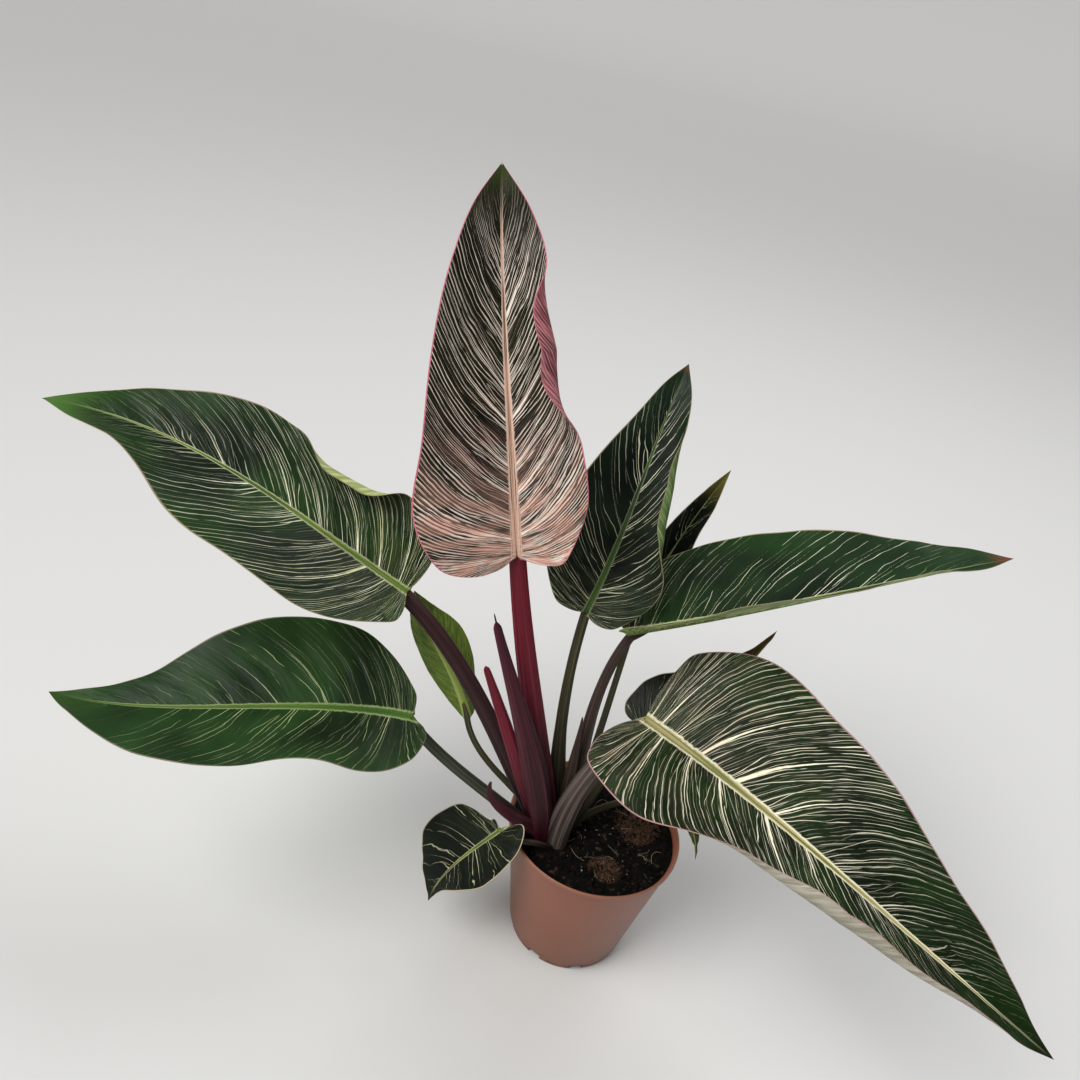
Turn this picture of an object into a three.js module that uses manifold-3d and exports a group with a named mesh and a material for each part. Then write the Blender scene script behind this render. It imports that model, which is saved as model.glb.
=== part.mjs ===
// Potted pink birkin philodendron: a young plant with eleven striped leaves in a thin plastic nursery pot.
// Millimetres, +Z up. The origin is the centre of the pot's base, on the surface that it stands on.
import * as THREE from 'three';
import { mergeVertices } from 'three/addons/utils/BufferGeometryUtils.js';
import Module from 'manifold-3d';

const wasm = await Module();
wasm.setup();

// Pot: a straight tapered cup with drainage slots in its bottom edge
const POT = { height: 91.5, baseRadius: 36, rimRadius: 52.5, wall: 1.3, floor: 2.5, lip: 0.8, sides: 48 };
const SLOTS = { count: 8, width: 9, height: 2.2, depth: 7 };

// Soil: fills the pot to just under the rim, with a plain hole for the stem
const SOIL = { level: 86, bump: 1.1, sides: 40, rings: 6 };
const STEM = { centre: [-25, -12], radius: 8, bottom: 60, top: 95, sides: 20 };
const HOLE_ROOM = 0.5;

// Pieces that touch on the plant are kept this far apart
const GAP = 0.3;
const SLIVER = 0.01;

// Blades: thickness, extra depth of the midrib below the blade, and how finely each is divided
const BLADE = { thickness: 0.9, rib: 1.5, large: 15, small: 10 };
const BLADE_ROWS = [0, 0.3, 0.55, 0.74, 0.88, 1];
const STATIONS = [0, 0.15, 0.35, 0.55, 0.75, 0.9];
const TIP_WIDTH = 2;

// Petioles and sheaths: sides and steps of a tube, its depth against its width, its channel, and the side
// that the channel faces
const TUBE = { sides: 10, steps: 11, depth: 0.75, channel: 0.3, facing: [0, -1, 0.3] };

const COLOURS = {
  pot: 0x9a5f4d, soil: 0x1d1713, stem: 0x5a4136,
  pinkBlade: 0x7b6554, greenBlade: 0x22392a, paleBlade: 0x4f6d33, creamBlade: 0x5d6e4c,
  crimson: 0x6f2036, maroon: 0x4a2230, olive: 0x4a4a33, umber: 0x4d3a33, grey: 0x6a5f5a,
};

// Each leaf, as seen on its upper face with the tip up. midrib: four points of a cubic curve from base to
// tip. face: the way the upper face looks at the base and at the tip. fold: degrees that each half is raised.
// left and right: half widths at STATIONS of the length. lobes: how far each basal lobe reaches back, and
// its distance from the midrib there. roll: a stretch of margin that curls over the face. wave: height in mm,
// count and phase of the ripple of each margin. petiole: three points from the stem; the base is the fourth.
const LEAVES = [
  {
    name: 'centre', colour: 'pinkBlade', petioleColour: 'crimson',
    midrib: [[-80, 4, 263], [-95, 17, 322], [-114, 31, 382], [-126, 53, 441]],
    face: [[0.05, -1, 0.25], [0.1, -1, 0.5]], fold: 22,
    left: [42, 53, 45, 38, 27, 14], right: [25, 39, 37, 39, 27, 13],
    lobes: { left: [8, 20], right: [3, 19] },
    roll: { side: 'right', from: 66, to: 146, angle: 190, start: 0.6 },
    wave: { left: [1.5, 3, 0.1], right: [1.5, 3, 0.4] },
    petiole: [[-28, -9, 89], [-43, -5, 142], [-65, -1, 201]], widths: [14, 9],
  },
  {
    name: 'upper_left', colour: 'greenBlade', petioleColour: 'maroon',
    midrib: [[-136, 17, 216], [-200, 17, 248], [-265, 33, 282], [-340, 22, 282]],
    face: [[-0.1, -0.45, 1], [-0.3, -0.3, 1]], fold: 18,
    left: [26, 47, 53, 49, 26, 12], right: [32, 44, 40, 39, 25, 12],
    lobes: { left: [3, 14], right: [3, 18] },
    roll: { side: 'right', from: 30, to: 90, angle: 180, start: 0.68 },
    wave: { left: [3, 2.5, 0.3], right: [2, 2, 0] },
    petiole: [[-32, -12, 91], [-62, -3, 129], [-89, 6, 184]], widths: [11, 9],
  },
  {
    name: 'lower_left', colour: 'greenBlade', petioleColour: 'olive',
    midrib: [[-118, -17, 158], [-181, -29, 168], [-240, -61, 156], [-307, -48, 148]],
    face: [[0, -0.4, 1], [-0.3, -0.3, 1]], fold: 16,
    left: [31, 42, 36, 43, 27, 11], right: [12, 44, 52, 39, 17, 6],
    lobes: { left: [9, 9], right: [1, 7] },
    wave: { left: [3, 3, 0.55], right: [2, 2, 0.2] },
    petiole: [[-33, -17, 89], [-58, -18, 113], [-96, -17, 127]], widths: [8, 6.5],
  },
  {
    name: 'rim_small', colour: 'greenBlade', petioleColour: 'umber', small: true,
    midrib: [[-56, -27, 97], [-71, -33, 80], [-85, -35, 61], [-88, -37, 36]],
    face: [[-0.2, -0.6, 1], [-0.7, -0.7, 0.6]], fold: 15,
    left: [20, 23, 22, 15, 6, 2], right: [7, 25, 29, 27, 16, 4],
    lobes: { left: [15, 6], right: [2, 7] },
    wave: { left: [1, 2, 0], right: [1, 2, 0.3] },
    petiole: [[-27, -24, 90], [-35, -31, 100], [-48, -31, 94]], widths: [4, 3.4],
  },
  {
    name: 'folded_left', colour: 'paleBlade', petioleColour: 'olive', small: true,
    midrib: [[-89, 10, 143], [-101, 17, 171], [-124, 21, 188], [-133, 27, 211]],
    face: [[-0.17, 0.95, -0.27], [-0.17, 0.95, -0.27]], fold: 46,
    left: [6, 12, 20, 22, 15, 6], right: [5, 14, 20, 19, 14, 5],
    lobes: { left: [1, 3], right: [1, 3] },
    wave: { left: [0.6, 2, 0], right: [0.6, 2, 0.5] },
    petiole: [[-34, -7, 90], [-45, -1, 106], [-80, 5, 113]], widths: [5, 3.6],
  },
  {
    name: 'right_upright', colour: 'greenBlade', petioleColour: 'olive',
    midrib: [[-37, 19, 228], [-25, 37, 271], [-23, 58, 316], [-13, 83, 356]],
    face: [[-0.1, -1, 0.4], [-0.1, -1, 0.5]], fold: 22,
    left: [19, 35, 37, 29, 17, 8], right: [19, 33, 32, 25, 15, 8],
    lobes: { left: [2, 9], right: [3, 9] },
    roll: { side: 'right', from: 30, to: 116, angle: 170, start: 0.65 },
    wave: { left: [1.5, 2, 0.2], right: [1, 2, 0.6] },
    petiole: [[-22, -5, 89], [-33, 3, 127], [-40, 10, 177]], widths: [9, 5.5],
  },
  {
    name: 'back_narrow', colour: 'greenBlade', petioleColour: 'olive', small: true,
    midrib: [[-2, 70, 206], [4, 82, 232], [17, 95, 262], [31, 105, 291]],
    face: [[-0.1, -1, 0.4], [-0.1, -1, 0.5]], fold: 40,
    left: [6, 14, 15, 13, 8, 3], right: [6, 14, 14, 10, 8, 3],
    lobes: { left: [2, 4], right: [2, 4] },
    wave: { left: [1, 2, 0.1], right: [1, 2, 0.4] },
    petiole: [[-17, -2, 89], [-10, 14, 129], [-8, 44, 166]], widths: [5, 3.5],
  },
  {
    name: 'right_level', colour: 'greenBlade', petioleColour: 'umber',
    midrib: [[-12, 13, 225], [51, 21, 249], [114, 31, 281], [174, 39, 307]],
    face: [[0, 0.2, 1], [0.1, 0.1, 1]], fold: 30,
    left: [28, 46, 52, 42, 27, 14], right: [24, 38, 40, 34, 22, 10],
    lobes: { left: [6, 14], right: [5, 12] },
    wave: { left: [1.5, 2, 0.1], right: [1.5, 2.5, 0.4] },
    petiole: [[-19, -6, 89], [-15, 1, 128], [-28, 6, 179]], widths: [10, 5.5],
  },
  {
    name: 'front_right', colour: 'creamBlade', petioleColour: 'grey',
    midrib: [[5, -22, 197], [71, -64, 195], [134, -112, 181], [203, -140, 158]],
    face: [[0.1, -0.4, 1], [0.5, -0.4, 1]], fold: 20,
    left: [44, 67, 61, 48, 30, 11], right: [54, 63, 48, 43, 24, 9],
    lobes: { left: [3, 22], right: [8, 26] },
    roll: { side: 'right', from: 36, to: 240, angle: 110, start: 0.7 },
    wave: { left: [2, 2.5, 0.1], right: [2, 3.5, 0.3] },
    petiole: [[-23, -18, 89], [-23, -18, 120], [-16, -20, 161]], widths: [15, 8.5],
  },
  {
    name: 'back_right', colour: 'greenBlade', petioleColour: 'olive', small: true,
    midrib: [[6, 9, 168], [27, 14, 179], [55, 24, 192], [72, 40, 230]],
    face: [[-0.5, -0.2, 1], [-0.8, -0.2, 0.6]], fold: 30,
    left: [14, 21, 20, 13, 7, 3], right: [14, 20, 18, 13, 7, 3],
    lobes: { left: [4, 7], right: [4, 7] },
    wave: { left: [1, 2, 0], right: [1, 2, 0.5] },
    petiole: [[-15, -4, 89], [-5, 3, 109], [1, 6, 139]], widths: [6, 4],
  },
  {
    name: 'back_small', colour: 'paleBlade', petioleColour: 'olive', small: true,
    midrib: [[33, 24, 99], [46, 19, 106], [60, 8, 104], [66, 2, 78]],
    face: [[0.2, -0.2, 1], [1, -0.3, 0.4]], fold: 20,
    left: [5, 9, 9, 8, 5, 2], right: [5, 9, 9, 8, 5, 2],
    lobes: { left: [1, 2], right: [1, 2] },
    wave: { left: [0.4, 2, 0], right: [0.4, 2, 0.5] },
    petiole: [[-13, -2, 90], [-4, 6, 94], [14, 16, 103]], widths: [6, 3.2],
  },
];

// New leaves still rolled in their sheaths, and empty sheaths. widths are at even steps from stem to tip.
const SHEATHS = [
  {
    name: 'spear_tall', colour: 'maroon', widths: [9, 14, 14, 12, 9, 5, 1],
    path: [[-31, -20, 90], [-39, -18, 140], [-66, -15, 187], [-85, -12, 236]],
  },
  {
    name: 'spear_blunt', colour: 'crimson', widths: [8, 9, 9, 8, 7, 5.5, 3.5],
    path: [[-32, -13, 91], [-48, -13, 122], [-66, -10, 162], [-84, -6, 196]],
  },
  {
    name: 'sheath_hooked', colour: 'crimson', widths: [10, 9, 8, 6.5, 5, 3.5, 1.2],
    path: [[-33, -20, 97], [-51, -25, 108], [-70, -27, 117], [-67, -28, 135]],
  },
  {
    name: 'sheath_pointed', colour: 'umber', widths: [8, 8, 7.5, 6.5, 5, 3, 1],
    path: [[-19, -10, 91], [-24, -7, 113], [-23, -4, 144], [-25, -1, 172]],
  },
];

// Where tubes meet at the crown, an earlier one in this list keeps its shape and later ones clasp it
const CROWN_ORDER = [
  'spear_tall', 'front_right', 'sheath_hooked', 'rim_small', 'lower_left', 'upper_left', 'spear_blunt',
  'centre', 'folded_left', 'right_level', 'right_upright', 'back_small', 'back_right', 'back_narrow',
  'sheath_pointed',
];

const vector = (values) => new THREE.Vector3(...values);
const clamp = THREE.MathUtils.clamp;
const radians = THREE.MathUtils.degToRad;

/** The bent, folded and rippled surface of one leaf, read by distance along and across the blade. */
class BladeSurface {
  constructor(leaf) {
    this.leaf = leaf;
    this.midrib = new THREE.CubicBezierCurve3(...leaf.midrib.map(vector));
    this.length = this.midrib.getLength();
    this.faces = leaf.face.map((face) => vector(face).normalize());
    this.margins = { left: this.marginCurve('left'), right: this.marginCurve('right') };
  }

  /** Outline of one half in the plane of the blade: round the basal lobe, then out and up to the tip. */
  marginCurve(side) {
    const widths = this.leaf[side];
    const [back, out] = this.leaf.lobes[side];
    const shoulder = [-0.62 * back, 0.55 * out + 0.57 * widths[0]];
    const lobe = [[0, 1], [-0.55 * back, 0.3 * out], [-back, out], shoulder];
    const edge = STATIONS.map((station, index) => [station * this.length, widths[index]]);
    const points = [...lobe, ...edge, [this.length, 0]].map(([x, y]) => new THREE.Vector3(x, y, 0));
    return new THREE.CatmullRomCurve3(points, false, 'centripetal');
  }

  /** Half width at a distance along the midrib, by straight steps between the stations. */
  halfWidth(side, x) {
    const widths = this.leaf[side];
    const place = clamp(x / this.length, 0, 1);
    const last = STATIONS.length - 1;
    if (place >= STATIONS[last]) {
      const rest = (place - STATIONS[last]) / (1 - STATIONS[last]);
      return THREE.MathUtils.lerp(widths[last], TIP_WIDTH, rest);
    }
    const step = STATIONS.findLastIndex((station) => place >= station);
    const share = (place - STATIONS[step]) / (STATIONS[step + 1] - STATIONS[step]);
    return THREE.MathUtils.lerp(widths[step], widths[step + 1], share);
  }

  /** Point of a side vein: it leaves the midrib at share u of the length and bends towards the tip. */
  vein(side, u, v) {
    const root = new THREE.Vector2(this.length * u * u, 0);
    const end = this.margins[side].getPointAt(u);
    const bend = new THREE.Vector2(root.x + 0.25 * (end.x - root.x), 0.6 * end.y);
    const x = (1 - v) ** 2 * root.x + 2 * v * (1 - v) * bend.x + v * v * end.x;
    const y = 2 * v * (1 - v) * bend.y + v * v * end.y;
    return [x, y];
  }

  /** Midrib point, its direction, the face direction and the direction to the right at a distance x. */
  frameAt(x) {
    const inside = clamp(x, 0, this.length);
    const share = inside / this.length;
    const along = this.midrib.getTangentAt(share);
    const centre = this.midrib.getPointAt(share).addScaledVector(along, x - inside);
    const normal = this.faces[0].clone().lerp(this.faces[1], share).normalize();
    normal.addScaledVector(along, -normal.dot(along)).normalize();
    return { centre, normal, right: along.clone().cross(normal) };
  }

  /** Slope of the cross-section in degrees, from the fold and from a rolled margin. */
  slope(side, x, across) {
    const { fold, roll } = this.leaf;
    const flatter = clamp(1 - 3 * (x / this.length - 0.8), 0.4, 1);
    let angle = fold * flatter;
    if (roll && roll.side === side) {
      const ramp = 0.25 * (roll.to - roll.from);
      const window = clamp((x - roll.from) / ramp, 0, 1) * clamp((roll.to - x) / ramp, 0, 1);
      const part = clamp((across / this.halfWidth(side, x) - roll.start) / (1 - roll.start), 0, 1);
      angle += roll.angle * window * part;
    }
    return radians(angle);
  }

  /** World point of the upper face at distance x along and y across one half. */
  point(side, x, y) {
    const steps = 16;
    const { centre, normal, right } = this.frameAt(x);
    const [height, count, phase] = this.leaf.wave[side];
    const reach = Math.min(y / this.halfWidth(side, x), 1.2);
    const fade = clamp((1 - x / this.length) / 0.1, 0, 1);
    let out = 0;
    let rise = height * reach ** 2 * fade * Math.sin(2 * Math.PI * (count * x / this.length + phase));
    for (let step = 0; step < steps; step += 1) {
      const angle = this.slope(side, x, (step + 0.5) / steps * y);
      out += Math.cos(angle) * y / steps;
      rise += Math.sin(angle) * y / steps;
    }
    return centre.addScaledVector(right, side === 'right' ? out : -out).addScaledVector(normal, rise);
  }
}

/** Closed body from an open sheet of triangles, whose underside lies depths[i] below each of its points. */
function thicken(points, triangles, depths, room) {
  const sheet = new THREE.BufferGeometry().setFromPoints(points);
  sheet.setIndex(triangles.flat());
  sheet.computeVertexNormals();
  const normal = sheet.getAttribute('normal');
  const normals = points.map((_, index) => new THREE.Vector3().fromBufferAttribute(normal, index));
  const edges = new Set(triangles.flatMap(([a, b, c]) => [`${a},${b}`, `${b},${c}`, `${c},${a}`]));
  const pairs = [...edges].map((edge) => edge.split(',').map(Number));
  const open = pairs.filter(([a, b]) => !edges.has(`${b},${a}`));
  const outward = points.map(() => new THREE.Vector3());
  for (const [a, b] of open) {
    const away = points[b].clone().sub(points[a]).cross(normals[a]).normalize();
    outward[a].add(away);
    outward[b].add(away);
  }
  const shifted = (index, height) => {
    const point = points[index].clone().addScaledVector(outward[index].normalize(), room);
    return point.addScaledVector(normals[index], height);
  };
  const upper = points.map((_, index) => shifted(index, room));
  const lower = points.map((_, index) => shifted(index, -depths[index] - room));
  const count = points.length;
  const faces = [
    ...triangles,
    ...triangles.map(([a, b, c]) => [a + count, c + count, b + count]),
    ...open.flatMap(([a, b]) => [[b, a, a + count], [b, a + count, b + count]]),
  ];
  const body = new THREE.BufferGeometry().setFromPoints([...upper, ...lower]);
  body.setIndex(faces.flat());
  return body;
}

/** A blade's body. With room it is that much larger all round, to cut clearance in what meets it. */
function bladeGeometry(leaf, room = 0) {
  const surface = new BladeSurface(leaf);
  const columns = leaf.small ? BLADE.small : BLADE.large;
  const rows = BLADE_ROWS.length - 1;
  const points = [];
  const depths = [];
  const add = (side, column, row) => {
    const [x, y] = surface.vein(side, column / columns, BLADE_ROWS[row]);
    points.push(surface.point(side, x, y));
    const rib = row === 0 ? BLADE.rib * (1 - column / columns) : 0;
    depths.push(BLADE.thickness + rib);
    return points.length - 1;
  };
  const spine = [...Array(columns + 1).keys()].map((column) => add('left', column, 0));
  const triangles = [];
  for (const side of ['left', 'right']) {
    const grid = spine.map((first, column) => BLADE_ROWS.map((_, row) => {
      if (row === 0 || column === columns) return first;
      return add(side, column, row);
    }));
    for (let column = 0; column < columns; column += 1) {
      for (let row = 0; row < rows; row += 1) {
        const [a, b] = [grid[column][row], grid[column + 1][row]];
        const [d, c] = [grid[column][row + 1], grid[column + 1][row + 1]];
        const halves = [[a, d, c], [a, c, b]].filter(([p, q, r]) => p !== q && q !== r && r !== p);
        triangles.push(...(side === 'right' ? halves : halves.map((half) => half.toReversed())));
      }
    }
  }
  return thicken(points, triangles, depths, room);
}

/** Width between even steps of a list. */
function widthAt(widths, share) {
  const place = share * (widths.length - 1);
  const step = Math.min(Math.floor(place), widths.length - 2);
  return THREE.MathUtils.lerp(widths[step], widths[step + 1], place - step);
}

/** Closed tube along a cubic path, rounded below and channelled on the side that it faces. */
function tubeGeometry(path, widths, room = 0) {
  const curve = new THREE.CubicBezierCurve3(...path.map(vector));
  const points = [];
  const faces = [];
  for (let step = 0; step <= TUBE.steps; step += 1) {
    const share = step / TUBE.steps;
    const along = curve.getTangentAt(share);
    const centre = curve.getPointAt(share).addScaledVector(along, (share - 0.5) * 2 * room);
    const across = along.clone().cross(vector(TUBE.facing)).normalize();
    const front = across.clone().cross(along);
    const radius = widthAt(widths, share) / 2 + room;
    for (let side = 0; side < TUBE.sides; side += 1) {
      const angle = 2 * Math.PI * (side + 0.5) / TUBE.sides;
      const channel = Math.sin(angle) > 0 ? 1 - TUBE.channel * Math.sin(angle) : 1;
      const point = centre.clone().addScaledVector(across, radius * Math.cos(angle));
      points.push(point.addScaledVector(front, radius * TUBE.depth * channel * Math.sin(angle)));
    }
  }
  for (let step = 0; step < TUBE.steps; step += 1) {
    for (let side = 0; side < TUBE.sides; side += 1) {
      const next = (side + 1) % TUBE.sides;
      const [a, b] = [step * TUBE.sides + side, step * TUBE.sides + next];
      faces.push([b, a, a + TUBE.sides], [b, a + TUBE.sides, b + TUBE.sides]);
    }
  }
  const end = TUBE.steps * TUBE.sides;
  for (let side = 1; side < TUBE.sides - 1; side += 1) {
    faces.push([0, side, side + 1], [end, end + side + 1, end + side]);
  }
  const body = new THREE.BufferGeometry().setFromPoints(points);
  body.setIndex(faces.flat());
  return body;
}

/** Solid of a closed geometry, for joining and cutting. */
function toSolid(geometry) {
  const bare = geometry.clone();
  bare.deleteAttribute('normal');
  bare.deleteAttribute('uv');
  const merged = mergeVertices(bare, 1e-4);
  const index = merged.getIndex().array;
  const kept = [];
  for (let corner = 0; corner < index.length; corner += 3) {
    const [a, b, c] = index.slice(corner, corner + 3);
    if (a !== b && b !== c && c !== a) kept.push(a, b, c);
  }
  const vertProperties = new Float32Array(merged.getAttribute('position').array);
  return new wasm.Manifold(new wasm.Mesh({ numProp: 3, vertProperties, triVerts: new Uint32Array(kept) }));
}

/** Geometry of the largest body of a solid, without the slivers that a cut leaves. */
function toGeometry(solid) {
  const bodies = solid.simplify(SLIVER).decompose().sort((one, other) => other.volume() - one.volume());
  const mesh = bodies[0].getMesh();
  const geometry = new THREE.BufferGeometry();
  geometry.setAttribute('position', new THREE.BufferAttribute(new Float32Array(mesh.vertProperties), 3));
  geometry.setIndex(new THREE.BufferAttribute(new Uint32Array(mesh.triVerts), 1));
  return geometry;
}

/** Radius of the pot's outside at a height. */
function potRadius(z) {
  return THREE.MathUtils.lerp(POT.baseRadius, POT.rimRadius - POT.lip, z / POT.height);
}

/** Pot: one thin cup turned about Z, with a small lip, and slots through the bottom corner. */
function potGeometry() {
  const { height, wall, floor, lip, rimRadius } = POT;
  const inside = (z) => potRadius(z) - wall;
  const profile = [
    [0, 0], [potRadius(0) - 0.8, 0], [potRadius(0.8), 0.8], [potRadius(height - 4), height - 4],
    [rimRadius, height - 3], [rimRadius, height - 0.6], [rimRadius - 0.6, height],
    [inside(height) + lip / 2, height], [inside(height - 1), height - 1], [inside(floor), floor], [0, floor],
  ].map(([x, y]) => new THREE.Vector2(x, y));
  let solid = toSolid(new THREE.LatheGeometry(profile, POT.sides).rotateX(Math.PI / 2));
  for (let slot = 0; slot < SLOTS.count; slot += 1) {
    const cutter = new THREE.BoxGeometry(SLOTS.depth, SLOTS.width, 2 * SLOTS.height);
    cutter.translate(POT.baseRadius + SLOTS.depth / 2 - wall - 1.2, 0, 0);
    cutter.rotateZ(2 * Math.PI * (slot + 0.35) / SLOTS.count);
    solid = solid.subtract(toSolid(cutter));
  }
  return toGeometry(solid);
}

/** Uneven surface of the soil. */
function soilHeight(x, y) {
  const broad = Math.sin(x / 7 + 1) * Math.cos(y / 8) + 0.6 * Math.sin((x + y) / 4.5);
  return SOIL.level + SOIL.bump * broad;
}

/** Soil: the inside of the pot up to its level, with the stem's hole. */
function soilGeometry() {
  const edge = (z) => potRadius(z) - POT.wall - GAP;
  const low = POT.floor + GAP;
  const profile = [new THREE.Vector2(0, low), new THREE.Vector2(edge(low), low)];
  for (let ring = SOIL.rings; ring > 0; ring -= 1) {
    profile.push(new THREE.Vector2(edge(SOIL.level - 2) * ring / SOIL.rings, SOIL.level));
  }
  profile.push(new THREE.Vector2(0, SOIL.level));
  const geometry = new THREE.LatheGeometry(profile, SOIL.sides).rotateX(Math.PI / 2);
  const position = geometry.getAttribute('position');
  for (let index = 0; index < position.count; index += 1) {
    if (position.getZ(index) > SOIL.level - 0.1) {
      position.setZ(index, soilHeight(position.getX(index), position.getY(index)));
    }
  }
  const [x, y] = STEM.centre;
  const depth = SOIL.level + 20 - STEM.bottom;
  const radius = STEM.radius + HOLE_ROOM;
  const hole = new THREE.CylinderGeometry(radius, radius, depth, STEM.sides);
  hole.rotateX(Math.PI / 2).translate(x, y, STEM.bottom - GAP + depth / 2);
  return toGeometry(toSolid(geometry).subtract(toSolid(hole)));
}

/** Stem: a short stub that stands in the soil and carries every petiole. */
function stemGeometry(room = 0) {
  const { radius, bottom, top, centre, sides } = STEM;
  const outline = [
    [0, bottom], [radius - 1, bottom], [radius, bottom + 4], [radius, top - 9],
    [radius - 1, top - 5], [radius - 3, top - 1.5], [0, top],
  ];
  const grow = ([x, y]) => new THREE.Vector2(x > 0 ? x + room : 0, y > top - 2 ? y + room : y);
  const profile = outline.map(grow);
  return new THREE.LatheGeometry(profile, sides).rotateX(Math.PI / 2).translate(centre[0], centre[1], 0);
}

/** End of a petiole: just under the rib of its blade, so that its cut end meets the blade. */
function petioleEnd(leaf) {
  const { centre, normal } = new BladeSurface(leaf).frameAt(0);
  const along = centre.clone().sub(vector(leaf.petiole[2])).normalize();
  const tilt = Math.abs(along.dot(normal));
  const half = (BLADE.thickness + BLADE.rib) / 2;
  return centre.addScaledVector(normal, -half).addScaledVector(along, -(GAP + half * tilt));
}

/** Path and widths of every tube at the crown: the petioles, then the sheaths. */
function crownTubes() {
  const petioles = LEAVES.map((leaf) => (
    { ...leaf, path: [...leaf.petiole, petioleEnd(leaf).toArray()], node: `petiole_${leaf.name}` }
  ));
  return [...petioles, ...SHEATHS.map((sheath) => ({ ...sheath, node: sheath.name }))];
}

/** Satin material of one colour. */
function finish(colour, roughness) {
  return new THREE.MeshStandardMaterial({ color: COLOURS[colour], roughness, metalness: 0 });
}

/** Named mesh of one piece. */
function piece(name, geometry, material) {
  const mesh = new THREE.Mesh(geometry, material);
  mesh.name = name;
  return mesh;
}

/** Petioles and sheaths, each cut where it clasps the stem, an earlier tube or a leaf's base. */
function crownPieces() {
  const rank = (tube) => CROWN_ORDER.indexOf(tube.name);
  const tubes = crownTubes().sort((one, other) => rank(one) - rank(other));
  const blades = LEAVES.flatMap((leaf) => [0, GAP].map((room) => toSolid(bladeGeometry(leaf, room))));
  const placed = [toSolid(stemGeometry(GAP)), ...blades];
  return tubes.map((tube) => {
    let solid = toSolid(tubeGeometry(tube.path, tube.widths));
    for (const other of placed) solid = solid.subtract(other);
    placed.push(toSolid(tubeGeometry(tube.path, tube.widths, GAP)));
    return piece(tube.node, toGeometry(solid), finish(tube.petioleColour ?? tube.colour, 0.5));
  });
}

const plant = new THREE.Group();
plant.name = 'potted_philodendron';
plant.add(piece('pot', potGeometry(), finish('pot', 0.45)));
plant.add(piece('soil', soilGeometry(), finish('soil', 0.95)));
plant.add(piece('stem', stemGeometry(), finish('stem', 0.7)));
plant.add(...crownPieces());
for (const leaf of LEAVES) {
  plant.add(piece(`blade_${leaf.name}`, toGeometry(toSolid(bladeGeometry(leaf))), finish(leaf.colour, 0.4)));
}

export default plant;
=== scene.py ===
"""Potted pink birkin philodendron: the looks of its leaves, stalks, soil and pot, light and camera."""

from __future__ import annotations

import logging
import math
from collections.abc import Callable, Iterator, Sequence
from contextlib import contextmanager
from dataclasses import dataclass, field, replace
from enum import Enum
from typing import Any

import bmesh
import bpy
import numpy as np
from mathutils import Matrix, Vector


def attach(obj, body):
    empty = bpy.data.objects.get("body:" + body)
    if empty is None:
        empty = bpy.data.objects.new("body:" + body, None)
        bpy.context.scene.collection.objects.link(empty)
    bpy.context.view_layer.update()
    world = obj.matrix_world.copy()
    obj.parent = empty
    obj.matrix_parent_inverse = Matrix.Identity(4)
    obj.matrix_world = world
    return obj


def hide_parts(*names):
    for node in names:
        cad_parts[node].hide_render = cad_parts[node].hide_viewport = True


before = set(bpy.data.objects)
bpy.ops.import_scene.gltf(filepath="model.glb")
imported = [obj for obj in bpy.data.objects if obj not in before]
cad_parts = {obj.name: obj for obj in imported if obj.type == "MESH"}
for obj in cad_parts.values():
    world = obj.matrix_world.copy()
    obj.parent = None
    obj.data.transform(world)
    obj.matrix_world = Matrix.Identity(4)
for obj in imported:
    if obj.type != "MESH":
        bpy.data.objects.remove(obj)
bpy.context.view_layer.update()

LOG = logging.getLogger("philodendron")
MM = 0.001

Pair = tuple[float, float]
Triple = tuple[float, float, float]
Quad = tuple[float, float, float, float]
Face = tuple[int, ...]
Settings = dict[str, Any] | None
Inputs = dict[Any, Any] | None

FULL_TURN = 2 * math.pi
MIX_FIRST, MIX_SECOND, MIX_RESULT = 6, 7, 2  # Places of the colour sockets on a Mix node


# Shader and geometry graphs


def linear(code: int) -> Quad:
    """Linear colour of a hex sRGB code."""
    channels = [(code >> shift & 255) / 255 for shift in (16, 8, 0)]
    return (*(c / 12.92 if c <= 0.04045 else ((c + 0.055) / 1.055) ** 2.4 for c in channels), 1.0)


def operator(operation: str, swapped: bool = False) -> Callable[[Value, Any], Value]:
    """Method that joins a value and another term in one Math node.

    Args:
        operation: the node's operation.
        swapped: whether the value comes second.

    Returns:
        The method.
    """

    def method(self: Value, other: Any) -> Value:
        """Result of the node."""
        return self.math(operation, *((other, self) if swapped else (self, other)))

    return method


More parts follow.
